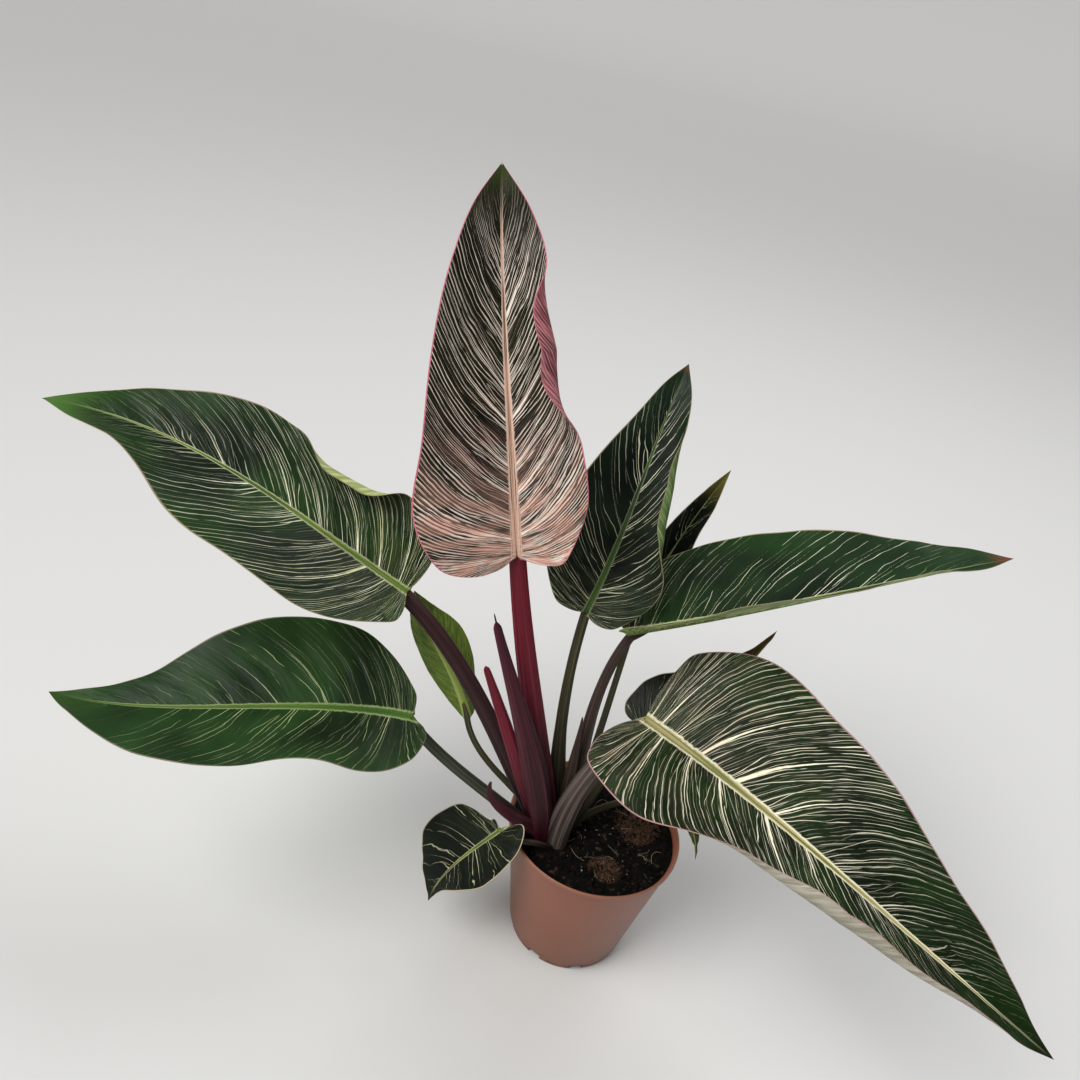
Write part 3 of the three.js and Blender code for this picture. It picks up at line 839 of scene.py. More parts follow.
class BladeSurface:
    """The bent, folded and rippled sheet of one blade, in millimetres."""

    def __init__(self, leaf: Leaf) -> None:
        """Measures the midrib.

        Args:
            leaf: the leaf that the blade belongs to.
        """
        self.leaf = leaf
        self.spine = bezier(leaf.midrib, np.linspace(0, 1, SPINE_POINTS))
        self.reach = reaches(self.spine)
        self.length = float(self.reach[-1])

    def frame_at(self, x: np.ndarray) -> tuple[np.ndarray, np.ndarray, np.ndarray]:
        """Midrib point, upper face direction and direction to the right at distances along the midrib.

        Args:
            x: the distances, which may lie past either end.

        Returns:
            The points and the two directions.
        """
        inside = np.clip(x, 0, self.length)
        along = unit(read(unit(np.gradient(self.spine, axis=0)), self.reach, inside))
        centre = read(self.spine, self.reach, inside) + along * (x - inside)[..., None]
        share = (inside / self.length)[..., None]
        first, last = (unit(np.array(face, float)) for face in self.leaf.face)
        normal = unit(first * (1 - share) + last * share)
        normal = unit(normal - along * (normal * along).sum(-1, keepdims=True))
        return centre, normal, np.cross(along, normal)

    def half_width(self, margin: Margin, x: np.ndarray) -> np.ndarray:
        """Half width at distances along the midrib."""
        return np.interp(x / self.length, STATIONS, [*margin.widths, TIP_WIDTH])

    def veins(self, margin: Margin, u: np.ndarray, v: np.ndarray) -> tuple[np.ndarray, np.ndarray]:
        """Distances along and across the flat blade at vein numbers u and places v along the vein.

        Args:
            margin: the outline of this half.
            u: vein numbers, from 0 to 1.
            v: places, from 0 at the midrib to 1 at the margin.

        Returns:
            The distances along, and the ones across.
        """
        back, out = margin.lobe
        shoulder = (-0.62 * back, 0.55 * out + 0.57 * margin.widths[0])
        outline = [(0, 1), (-0.55 * back, 0.3 * out), (-back, out), shoulder]
        outline += [(share * self.length, width) for share, width in zip(STATIONS, margin.widths)]
        end = even_curve(np.array([*outline, (self.length, 0)], float), u)
        root = self.length * u * u
        bend = root + VEIN_LEAN * (end[:, 0] - root)
        middle = 2 * v * (1 - v)
        x = (1 - v) ** 2 * root[:, None] + middle * bend[:, None] + v * v * end[:, :1]
        return x, middle * VEIN_ARCH * end[:, 1:] + v * v * end[:, 1:]

    def half(self, side: Side, u: np.ndarray, v: np.ndarray) -> tuple[np.ndarray, np.ndarray, np.ndarray]:
        """Points of one half.

        Args:
            side: which half.
            u: vein numbers from 0 at the base to 1 at the tip.
            v: places along each vein, from the midrib to the margin.

        Returns:
            The points, and their flat distances along and across.
        """
        margin = self.leaf.margin(side)
        x, y = self.veins(margin, u, v)
        centre, normal, right = self.frame_at(x)
        half = self.half_width(margin, x)
        place = x / self.length
        height, count, phase = margin.wave
        fade = np.clip((1 - place) / CALM_TIP, 0, 1)
        ripple = np.sin(FULL_TURN * (count * place + phase))
        out, rise = np.zeros_like(y), height * np.minimum(y / half, 1.2) ** 2 * fade * ripple
        fold = self.leaf.fold * np.clip(1 - FLATTER_RATE * (place - FLATTER_FROM), LEAST_FOLD, 1)
        start, end, turn, share = margin.roll or (0, 1, 0, 0)
        ramp = ROLL_EASE * (end - start)
        window = np.clip((x - start) / ramp, 0, 1) * np.clip((end - x) / ramp, 0, 1)
        curl = turn * window * window * (3 - 2 * window)
        for step in range(ROLL_STEPS):
            reach = (step + 0.5) / ROLL_STEPS * y / half
            angle = np.radians(fold + curl * np.clip((reach - share) / (1 - share), 0, 1))
            out += np.cos(angle) * y / ROLL_STEPS
            rise += np.sin(angle) * y / ROLL_STEPS
        u = u[:, None]
        quilt = self.leaf.quilt * np.sin(FULL_TURN * QUILTS * u) * np.sin(np.pi * np.clip(v * 1.15, 0, 1))
        flutter = 0.35 * np.sin(23 * u + side.value) * v**4 + 0.2 * np.sin(57 * u) * v**6
        rise += (quilt + flutter) * fade
        points = centre + right * (side.value * out)[..., None] + normal * rise[..., None]
        return points, x, y


@dataclass
class Blade:
    """A leaf's blade as a thin closed shell with a raised midrib."""

    leaf: Leaf
    thickness: float = 0.7
    keel: float = 1.5
    crest: float = 0.35
    least_rib: float = 0.45
    rib_spread: float = 1.15
    lip: float = 0.5

    def build(self) -> bpy.types.Object:
        """Builds the shell and dresses it.

        Returns:
            The blade's object.
        """
        surface = BladeSurface(self.leaf)
        u = np.linspace(0, 1, self.leaf.columns + 1)
        halves = [surface.half(side, u, BLADE_ROWS[None, :]) for side in Side]
        sheet, x, y = (np.concatenate([left[:, :0:-1], right], 1) for left, right in zip(*halves))
        rows = len(BLADE_ROWS) - 1
        numbers = np.arange(-rows, rows + 1)
        v_full = np.broadcast_to(BLADE_ROWS[np.abs(numbers)], x.shape)
        u_full = np.broadcast_to(u[:, None], x.shape)
        sides = np.broadcast_to(np.where(numbers < 0, LEFT_HALF, 0.0), x.shape)

        normal = unit(np.cross(np.gradient(sheet, axis=0), np.gradient(sheet, axis=1)))
        upper = surface.frame_at(x)[1]
        normal[-1] = upper[-1]
        normal[0] = upper[0]
        if (normal[len(u) // 3, rows] * upper[len(u) // 3, rows]).sum() < 0:
            normal[1:-1] *= -1
        share = np.clip(x / surface.length, 0, 1)
        closing = 1 - u_full**10
        taper = closing * (1 - 0.45 * v_full**4)
        rib = self.leaf.skin.rib_width / MM * (1 - share) ** 1.15 + self.least_rib
        bulge = np.clip(1 - (y / (rib * self.rib_spread)) ** 2, 0, 1) * closing
        half = self.thickness / 2 * taper
        top = sheet + normal * (half + self.crest * bulge * (1 - 0.8 * share))[..., None]
        bottom = sheet - normal * (half + self.keel * (1 - share) * bulge)[..., None]
        lips = []
        for edge, inner in ((-1, -2), (0, 1)):
            outward = unit(sheet[:, edge] - sheet[:, inner]) * taper[:, edge, None]
            lips.append(((top[:, edge] + bottom[:, edge]) / 2 + self.lip * outward)[:, None])
        ring = np.concatenate([top, lips[0], bottom[:, ::-1], lips[1]], 1)

        def around(values: np.ndarray) -> np.ndarray:
            """The values of the sheet, taken round the shell."""
            return np.concatenate([values, values[:, -1:], values[:, ::-1], values[:, :1]], 1)

        count, last = ring.shape[1], 2 * rows
        under = np.zeros(ring.shape[:2])
        under[:, last + 1] = under[:, -1] = 0.4  # The two lips, which take the upper face's colours
        under[:, last + 2:-1] = 1.0
        cap = [(k, k + 1, count - 3 - k, count - 2 - k) for k in range(last)]
        cap += [(last, last + 1, last + 2), (0, count - 2, count - 1)]
        marks = {
            "along": around(x) / surface.length, "across": around(y) * MM, "under": under,
            "vein_u": around(u_full + sides), "vein_v": around(v_full),
        }
        name = f"leaf_{self.leaf.name}"
        blade = shell(name, ring.reshape(-1, 3) * MM, lattice(len(ring), count) + cap, marks)
        veins_map(blade)
        material = self.leaf.skin.material(f"{name}_skin")
        return dress(blade, material, self.leaf.slots[0], f"blade_{self.leaf.name}")


# Meshes


def mesh_of(name: str, points: Sequence[Any], faces: Sequence[Face], edges: Sequence[Face] = (),
            numbers: dict[str, np.ndarray] | None = None) -> bpy.types.Mesh:
    """Mesh of points in metres, with the numbers that each point carries.

    Args:
        name: the mesh's name.
        points: the points.
        faces: the corners of each face.
        edges: the ends of each loose edge.
        numbers: values for each point, by attribute name.

    Returns:
        The mesh.
    """
    mesh = bpy.data.meshes.new(name)
    mesh.from_pydata(points, edges, faces)
    for key, values in (numbers or {}).items():
        attribute = mesh.attributes.new(key, "FLOAT", "POINT")
        attribute.data.foreach_set("value", np.ascontiguousarray(values, np.float32).ravel())
    return mesh


def put(name: str, data: Any) -> bpy.types.Object:
    """Object of a mesh, camera or light, linked to the scene.

    Args:
        name: the object's name.
        data: the mesh, camera or light.

    Returns:
        The object.
    """
    made = bpy.data.objects.new(name, data)
    bpy.context.scene.collection.objects.link(made)
    return made


def settle(made: bpy.types.Object) -> None:
    """Turns the object with its modifiers into a plain mesh.

    Args:
        made: the object, which keeps its name.
    """
    graph = bpy.context.evaluated_depsgraph_get()
    mesh = bpy.data.meshes.new_from_object(made.evaluated_get(graph))
    made.modifiers.clear()
    made.data = mesh
    mesh.name = made.name


@contextmanager
def edited(mesh: bpy.types.Mesh) -> Iterator[bmesh.types.BMesh]:
    """Opens a mesh for editing and writes it back.

    Args:
        mesh: the mesh.

    Yields:
        The mesh in its editable form.
    """
    work = bmesh.new()
    work.from_mesh(mesh)
    yield work
    work.to_mesh(mesh)
    work.free()


def lattice(rings: int, count: int, first: int = 0) -> list[Face]:
    """Faces between rings of points.

    Args:
        rings: the number of rings.
        count: the points of each ring.
        first: the index of the first point.

    Returns:
        The corners of each face, ring by ring.
    """
    faces = []
    for low in range(first, first + (rings - 1) * count, count):
        for turn in range(count):
            after = (turn + 1) % count
            faces.append((low + turn, low + count + turn, low + count + after, low + after))
    return faces


def shell(name: str, points: np.ndarray, faces: Sequence[Face],
          numbers: dict[str, np.ndarray] | None = None) -> bpy.types.Object:
    """Smooth closed mesh with its doubles merged and its faces outward.

    Args:
        name: the object's name.
        points: its points in metres.
        faces: the corners of each face.
        numbers: point numbers that materials read, by name.

    Returns:
        The object, linked to the scene.
    """
    mesh = mesh_of(name, points.tolist(), faces, numbers=numbers)
    with edited(mesh) as work:
        bmesh.ops.remove_doubles(work, verts=work.verts, dist=2e-6)
        bmesh.ops.dissolve_degenerate(work, edges=work.edges, dist=1e-7)
        bmesh.ops.recalc_face_normals(work, faces=work.faces)
        for face in work.faces:
            face.smooth = True
    return put(name, mesh)


def veins_map(blade: bpy.types.Object) -> None:
    """Writes the blade's UV map from its vein numbers.

    Args:
        blade: the blade, whose mesh carries the numbers.
    """
    mesh = blade.data
    corners = np.zeros(len(mesh.loops), np.int32)
    mesh.loops.foreach_get("vertex_index", corners)
    numbers = np.zeros((2, len(mesh.vertices)), np.float32)
    for key, values in zip(("vein_u", "vein_v"), numbers):
        mesh.attributes[key].data.foreach_get("value", values)
        mesh.attributes.remove(mesh.attributes[key])
    mesh.uv_layers.new(name="veins").data.foreach_set("uv", numbers[:, corners].T.ravel())


def dress(piece: bpy.types.Object, material: bpy.types.Material, slot: str,
          *nodes: str) -> bpy.types.Object:
    """Gives a piece its material and its place in the frame.

    Args:
        piece: the piece, in place.
        material: its finish.
        slot: the name of its material slot, which is not used.
        nodes: the CAD nodes that it stands for.

    Returns:
        The piece.
    """
    piece.data.materials.clear()
    piece.data.materials.append(material)
    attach(piece, "root")
    if nodes:
        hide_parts(*nodes)
    LOG.info("%s: %d faces", piece.name, len(piece.data.polygons))
    return piece


# Geometry trees


class Tree(Graph):
    """A geometry tree with named inputs."""

    def __init__(self, name: str) -> None:
        """Starts a tree with a geometry input and output.

        Args:
            name: the tree's name.
        """
        super().__init__(bpy.data.node_groups.new(name, "GeometryNodeTree"))
        self.tree.interface.new_socket("Geometry", in_out="INPUT", socket_type="NodeSocketGeometry")
        self.tree.interface.new_socket("Geometry", in_out="OUTPUT", socket_type="NodeSocketGeometry")
        self.sockets: dict[str, str] = {}
        self.entry = self.add("NodeGroupInput")
        self.exit = self.add("NodeGroupOutput")

    def input(self, name: str, kind: str) -> Value:
        """Adds a named input of the tree.

        Args:
            name: the input's name.
            kind: its kind of socket.

        Returns:
            The input's value.
        """
        item = self.tree.interface.new_socket(name, in_out="INPUT", socket_type=f"NodeSocket{kind}")
        self.sockets[name] = item.identifier
        return Value(self, self.entry.outputs[name])

    def geometry(self, kind: str, inputs: Inputs, settings: Settings = None) -> bpy.types.NodeSocket:
        """Adds one node and returns its geometry."""
        return self.value(kind, settings, inputs).socket

    def named(self, name: str) -> Value:
        """Number that the geometry carries under a name."""
        settings, inputs = {"data_type": "FLOAT"}, {"Name": name}
        return self.value("GeometryNodeInputNamedAttribute", settings, inputs, "Attribute")

    def store(self, geometry: Any, name: str, number: Any) -> bpy.types.NodeSocket:
        """Keeps a number at each point under a name.

        Args:
            geometry: the geometry.
            name: the name.
            number: the number.

        Returns:
            The geometry that carries it.
        """
        inputs = {"Geometry": geometry, "Name": name, "Value": number}
        settings = {"data_type": "FLOAT", "domain": "POINT"}
        return self.geometry("GeometryNodeStoreNamedAttribute", inputs, settings)

    def close(self, geometry: Any, material: Value) -> None:
        """Ends the tree: instances made real, faces smooth, material set.

        Args:
            geometry: the finished geometry.
            material: the input that holds the material.
        """
        real = self.geometry("GeometryNodeRealizeInstances", {"Geometry": geometry})
        smooth = self.geometry("GeometryNodeSetShadeSmooth", {"Geometry": real})
        done = self.geometry("GeometryNodeSetMaterial", {"Geometry": smooth, "Material": material})
        self.tree.links.new(done, self.exit.inputs[0])

    def grow(self, name: str, start: bpy.types.Mesh, values: dict[str, Any]) -> bpy.types.Object:
        """Runs the tree on a mesh and keeps the result as a plain mesh.

        Args:
            name: the object's name.
            start: the mesh that enters the tree.
            values: the tree's inputs by name.

        Returns:
            The object, linked to the scene, without its modifier.
        """
        made = put(name, start)
        modifier = made.modifiers.new("grow", "NODES")
        modifier.node_group = self.tree
        for key, value in values.items():
            modifier[self.sockets[key]] = value
        settle(made)
        return made


class SweepTree(Tree):
    """Sweeps a channelled, ribbed section along a path whose points carry a width."""

    def __init__(self) -> None:
        """Builds the tree."""
        super().__init__("sweep")
        steps, sides = self.input("Steps", "Int"), self.input("Sides", "Int")
        facing = self.input("Facing", "Vector")
        names = ("Depth", "Channel", "Ribs", "Rib Depth", "Twist", "Round Tip")
        depth, channel, ribs, rib_depth, twist, round_tip = (self.input(name, "Float") for name in names)
        material = self.input("Material", "Material")
        path = self.geometry("GeometryNodeMeshToCurve", {"Mesh": self.entry.outputs[0]})
        size = {"Size X": 1.0, "Size Y": 1.0, "Vertices X": steps, "Vertices Y": sides}
        grid = self.geometry("GeometryNodeMeshGrid", size)
        x, y, _ = self.split(self.value("GeometryNodeInputPosition"))
        share = (x + 0.5).clamped()
        turn = (y + 0.5) * FULL_TURN
        settings = {"mode": "FACTOR", "data_type": "FLOAT", "use_all_curves": True}
        inputs = {"Curves": path, "Value": self.named("width"), "Factor": share}
        place = self.add("GeometryNodeSampleCurve", settings, inputs)
        centre, tangent = (self.socket(place.outputs, name) for name in ("Position", "Tangent"))
        width = Value(self, self.socket(place.outputs, "Value"))
        across = self.vector("NORMALIZE", self.vector("CROSS_PRODUCT", tangent, facing))
        front = self.vector("CROSS_PRODUCT", across, tangent)
        sine, cosine = turn.math("SINE", turn), turn.math("COSINE", turn)
        lobe = (turn + share * twist) * ribs
        ribbed = 1.0 + rib_depth * lobe.math("COSINE", lobe)
        open_end = ((share - (1.0 - round_tip)) / (round_tip + 0.0001)).clamped()
        left = 1.0 - open_end * open_end
        radius = width * 0.5 * ribbed * left.math("SQRT", left)
        hollow = 1.0 - channel * sine.most(0.0)
        offset_x = self.vector("SCALE", across, Scale=radius * cosine)
        offset_y = self.vector("SCALE", front, Scale=radius * sine * depth * hollow)
        target = self.vector("ADD", centre, self.vector("ADD", offset_x, offset_y))
        tube = grid
        for name, number in (("share", share), ("ring_x", cosine), ("ring_y", sine)):
            tube = self.store(tube, name, number)
        tube = self.geometry("GeometryNodeSetPosition", {"Geometry": tube, "Position": target})
        merged = self.geometry("GeometryNodeMergeByDistance", {"Geometry": tube, "Distance": 1e-6})
        self.close(merged, material)


# Stalks and sheaths

PATH_POINTS, FOOT_POINTS, HEAD_POINTS = 60, 6, 12


@dataclass
class Sweep:
    """The section of a stalk or sheath."""

    sides: int = 28
    steps: int = 90
    facing: Triple = (0.0, -1.0, 0.3)
    depth: float = 0.75
    channel: float = 0.28
    ribs: float = 5.0
    rib_depth: float = 0.03
    twist: float = 0.0
    round_tip: float = 0.02

    def build(self, tree: SweepTree, name: str, line: np.ndarray, widths: np.ndarray,
              material: bpy.types.Material) -> bpy.types.Object:
        """Sweeps the section along a line.

        Args:
            tree: the sweeping tree.
            name: the piece's name.
            line: the path's points in millimetres.
            widths: the width at each point in millimetres.
            material: the finish.

        Returns:
            The swept object, with its open ends filled.
        """
        values = {
            "Steps": self.steps, "Sides": self.sides + 1, "Facing": self.facing, "Depth": self.depth,
            "Channel": self.channel, "Ribs": self.ribs, "Rib Depth": self.rib_depth, "Twist": self.twist,
            "Round Tip": self.round_tip, "Material": material,
        }
        edges = [(index, index + 1) for index in range(len(line) - 1)]
        path = mesh_of(name, (line * MM).tolist(), [], edges, {"width": widths * MM})
        made = tree.grow(name, path, values)
        with edited(made.data) as work:
            bmesh.ops.remove_doubles(work, verts=work.verts, dist=1e-6)
            bmesh.ops.holes_fill(work, edges=[edge for edge in work.edges if edge.is_boundary], sides=0)
            bmesh.ops.recalc_face_normals(work, faces=work.faces)
        return made


def rooted(points: Sequence[Triple], widths: Sequence[float], count: int,
           sunk: float) -> tuple[np.ndarray, np.ndarray]:
    """A stalk's curve with a straight foot that goes down into what it grows from.

    Args:
        points: the four points of the cubic curve, in millimetres.
        widths: widths at even steps of its parameter.
        count: how many points the curve gets.
        sunk: the length of the foot.

    Returns:
        The points of the line, and their widths.
    """
    shares = np.linspace(0, 1, count)
    path = bezier(points, shares)
    foot = path[0] + unit(path[0] - path[1]) * np.linspace(sunk, 0.5, FOOT_POINTS)[:, None]
    body = np.interp(shares, np.linspace(0, 1, len(widths)), widths)
    return np.vstack([foot, path]), np.r_[np.full(FOOT_POINTS, widths[0]), body]


@dataclass
class Petiole:
    """A leaf's stalk, from the stem to a short way under the blade's midrib."""

    leaf: Leaf
    sunk: float = 7.0
    under_blade: float = 12.0
    start: float = 0.5
    tip_width: float = 1.2

    def build(self, tree: SweepTree) -> bpy.types.Object:
        """Builds and dresses the stalk.

        Args:
            tree: the tree that sweeps sections along lines.

        Returns:
            The stalk.
        """
        ahead = np.linspace(self.start, self.under_blade, HEAD_POINTS)
        centre, normal, _ = BladeSurface(self.leaf).frame_at(ahead)
        head = np.interp(ahead, [self.start, self.under_blade], [self.leaf.widths[-1], self.tip_width])
        keel = centre - normal * (0.5 + 0.4 * head)[:, None]
        path = (*self.leaf.petiole, tuple(keel[0]))
        line, widths = rooted(path, self.leaf.widths, PATH_POINTS, self.sunk)
        name = f"stalk_{self.leaf.name}"
        material = self.leaf.stalk_skin.material(f"{name}_skin")
        section = Sweep(round_tip=0.04)
        made = section.build(tree, name, np.vstack([line, keel[1:]]), np.r_[widths, head[1:]], material)
        return dress(made, material, self.leaf.slots[1], f"petiole_{self.leaf.name}")


@dataclass(frozen=True)
class Sheath:
    """A rolled new leaf or an empty sheath, in millimetres, whose last share can be a thin thread."""

    name: str
    skin: StalkSkin
    slot: str
    path: tuple[Triple, ...]
    widths: tuple[float, ...]
    ribs: float = 5.0
    rib_depth: float = 0.05
    twist: float = 0.6
    round_tip: float = 0.03
    channel: float = 0.28
    thread: float = 0.0
    thread_width: float = 1.0
    sunk: float = 6.0
    points: int = 80

    def build(self, tree: SweepTree) -> bpy.types.Object:
        """Builds and dresses the sheath.

        Args:
            tree: the tree that sweeps sections along lines.

        Returns:
            The sheath.
        """
        line, widths = rooted(self.path, self.widths, self.points, self.sunk)
        share = np.linspace(0, 1, self.points)
        widths[FOOT_POINTS:][share > 1 - self.thread] = self.thread_width
        section = Sweep(ribs=self.ribs, rib_depth=self.rib_depth, twist=self.twist,
                        round_tip=self.round_tip, channel=self.channel)
        material = self.skin.material(f"{self.name}_skin")
        made = section.build(tree, f"new_{self.name}", line, widths, material)
        return dress(made, material, self.slot, self.name)


LEAVES = (
    Leaf(
        "centre", PINK, CRIMSON, ("pink_blade", "crimson_stalk"),
        ((-80, 4, 263), (-95, 17, 322), (-114, 31, 382), (-126, 53, 441)),
        ((0.05, -1, 0.25), (0.1, -1, 0.5)), 22,
        Margin((42, 53, 45, 38, 27, 14), (8, 20), (1.5, 3, 0.1)),
        Margin((27, 39.5, 37, 38, 25.5, 13), (3.5, 17), (1.5, 3, 0.4), (56, 158, 190, 0.6)),
        ((-28, -9, 89), (-43, -5, 142), (-65, -1, 201)), (14, 13.5, 12.5, 10.8, 9),
    ),
    Leaf(
        "upper_left", GREEN, PLUM, ("green_blade", "maroon_stalk"),
        ((-136, 17, 216), (-200, 17, 248), (-265, 33, 282), (-340, 22, 282)),
        ((-0.1, -0.45, 1), (-0.3, -0.3, 1)), 18,
        Margin((26, 47, 53, 49, 26, 12), (3, 14), (3, 2.5, 0.3)),
        Margin((32, 44, 40, 39, 25, 12), (3, 18), (2, 2, 0), (20, 104, 180, 0.68)),
        ((-32, -12, 91), (-62, -3, 129), (-89, 6, 184)), (11, 10, 9),
    ),
    Leaf(
        "lower_left", NIGHT, SLATE, ("green_blade", "olive_stalk"),
        ((-118, -17, 158), (-181, -29, 168), (-240, -61, 156), (-307, -48, 148)),
        ((0, -0.4, 1), (-0.3, -0.3, 1)), 16,
        Margin((31, 42, 36, 43, 27, 11), (9, 9), (3, 3, 0.55)),
        Margin((12, 44, 52, 39, 17, 6), (1, 7), (2, 2, 0.2)),
        ((-33, -17, 89), (-58, -18, 113), (-96, -17, 127)), (8, 7, 6.5),
    ),
    Leaf(
        "rim_small", SMALL_FORKED, UMBER, ("green_blade", "umber_stalk"),
        ((-56, -27, 97), (-71, -33, 80), (-85, -35, 61), (-88, -37, 36)),
        ((-0.2, -0.6, 1), (-0.7, -0.7, 0.6)), 15,
        Margin((20, 23, 22, 15, 6, 2), (15, 6), (1, 2, 0)),
        Margin((7, 25, 29, 27, 16, 4), (2, 7), (1, 2, 0.3)),
        ((-27, -24, 90), (-35, -31, 100), (-48, -31, 94)), (4, 3.8, 3.4), 90, 0.12,
    ),
    Leaf(
        "folded_left", LIME, OLIVE, ("pale_blade", "olive_stalk"),
        ((-89, 10, 143), (-101, 17, 171), (-124, 21, 188), (-133, 27, 211)),
        ((-0.17, 0.95, -0.27), (-0.17, 0.95, -0.27)), 46,
        Margin((6, 12, 20, 22, 15, 6), (1, 3), (0.6, 2, 0)),
        Margin((5, 14, 20, 19, 14, 5), (1, 3), (0.6, 2, 0.5)),
        ((-34, -7, 90), (-45, -1, 106), (-80, 5, 113)), (5, 4, 3.6), 90, 0.12,
    ),
    Leaf(
        "right_upright", DARK_LINED, OLIVE, ("green_blade", "olive_stalk"),
        ((-37, 19, 228), (-25, 37, 271), (-23, 58, 316), (-13, 83, 356)),
        ((-0.1, -1, 0.4), (-0.1, -1, 0.5)), 22,
        Margin((19, 35, 37, 29, 17, 8), (2, 9), (1.5, 2, 0.2)),
        Margin((19, 33, 32, 25, 15, 8), (3, 9), (1, 2, 0.6), (24, 124, 170, 0.65)),
        ((-22, -5, 89), (-33, 3, 127), (-40, 10, 177)), (10, 10.5, 7, 5.8, 5.5),
    ),
    Leaf(
        "back_narrow", TWISTED, OLIVE, ("green_blade", "olive_stalk"),
        ((-2, 70, 206), (4, 82, 232), (17, 95, 262), (31, 105, 291)),
        ((-0.1, -1, 0.4), (-0.1, -1, 0.5)), 40,
        Margin((6, 14, 15, 13, 8, 3), (2, 4), (1, 2, 0.1)),
        Margin((6, 14, 14, 10, 8, 3), (2, 4), (1, 2, 0.4)),
        ((-17, -2, 89), (-10, 14, 129), (-8, 44, 166)), (5, 4.2, 3.5), 90, 0.12,
    ),
    Leaf(
        "right_level", RIGHT_LEVEL, UMBER, ("green_blade", "umber_stalk"),
        ((-12, 13, 225), (51, 21, 249), (114, 31, 281), (174, 39, 307)),
        ((0, 0.2, 1), (0.1, 0.1, 1)), 30,
        Margin((28, 46, 52, 42, 27, 14), (6, 14), (1.5, 2, 0.1)),
        Margin((24, 38, 40, 34, 22, 10), (5, 12), (1.5, 2.5, 0.4)),
        ((-19, -6, 89), (-15, 1, 128), (-28, 6, 179)), (10.5, 10, 7.5, 6, 5.5),
    ),
    Leaf(
        "front_right", CREAM, STONE, ("cream_blade", "grey_stalk"),
        ((5, -22, 197), (71, -64, 195), (134, -112, 181), (203, -140, 158)),
        ((0.1, -0.4, 1), (0.5, -0.4, 1)), 20,
        Margin((44, 67, 61, 48, 30, 11), (3, 22), (2, 2.5, 0.1)),
        Margin((54, 63, 48, 43, 24, 9), (8, 26), (2, 3.5, 0.3), (36, 240, 110, 0.7)),
        ((-23, -18, 89), (-23, -18, 120), (-16, -20, 161)), (15, 14, 12, 10, 8.5), 190,
    ),
    Leaf(
        "back_right", BROWN_TIP, OLIVE, ("green_blade", "olive_stalk"),
        ((6, 9, 168), (27, 14, 179), (55, 24, 192), (72, 40, 230)),
        ((-0.5, -0.2, 1), (-0.8, -0.2, 0.6)), 30,
        Margin((14, 21, 20, 13, 7, 3), (4, 7), (1, 2, 0)),
        Margin((14, 20, 18, 13, 7, 3), (4, 7), (1, 2, 0.5)),
        ((-15, -4, 89), (-5, 3, 109), (1, 6, 139)), (6, 5, 4), 90, 0.12,
    ),
    Leaf(
        "back_small", LIME, OLIVE, ("pale_blade", "olive_stalk"),
        ((33, 24, 99), (46, 19, 106), (60, 8, 104), (66, 2, 78)),
        ((0.2, -0.2, 1), (1, -0.3, 0.4)), 20,
        Margin((5, 9, 9, 8, 5, 2), (1, 2), (0.4, 2, 0)),
        Margin((5, 9, 9, 8, 5, 2), (1, 2), (0.4, 2, 0.5)),
        ((-13, -2, 90), (-4, 6, 94), (14, 16, 103)), (6, 4.5, 3.2), 80, 0.1,
    ),
)

SHEATHS = (
    Sheath(
        "spear_tall", MAROON, "maroon_stalk",
        ((-31, -20, 90), (-39, -18, 140), (-66, -15, 187), (-85, -12, 236)),
        (9, 14, 14, 11.5, 8.5, 6, 3.8), 6, 0.06, thread=0.05,
    ),
    Sheath(
        "spear_blunt", CRIMSON, "crimson_stalk",
        ((-32, -13, 91), (-48, -13, 122), (-66, -10, 162), (-84, -6, 196)),
        (8, 9, 9, 8, 7, 5.5, 3.5), 4, 0.06,
    ),
    Sheath(
        "sheath_hooked", MAROON, "crimson_stalk",
        ((-33, -20, 97), (-51, -25, 108), (-70, -27, 117), (-67, -28, 135)),
        (10, 9, 8, 6.5, 5, 3.5, 1.2), 3, 0.05, 0.3, 0.03, 0.9,
    ),
    Sheath(
        "sheath_pointed", UMBER, "umber_stalk",
        ((-19, -10, 91), (-24, -7, 113), (-23, -4, 144), (-25, -1, 172)),
        (8, 8, 7.5, 6.5, 5, 3, 1), 4, 0.06,
    ),
)


# Pot and soil


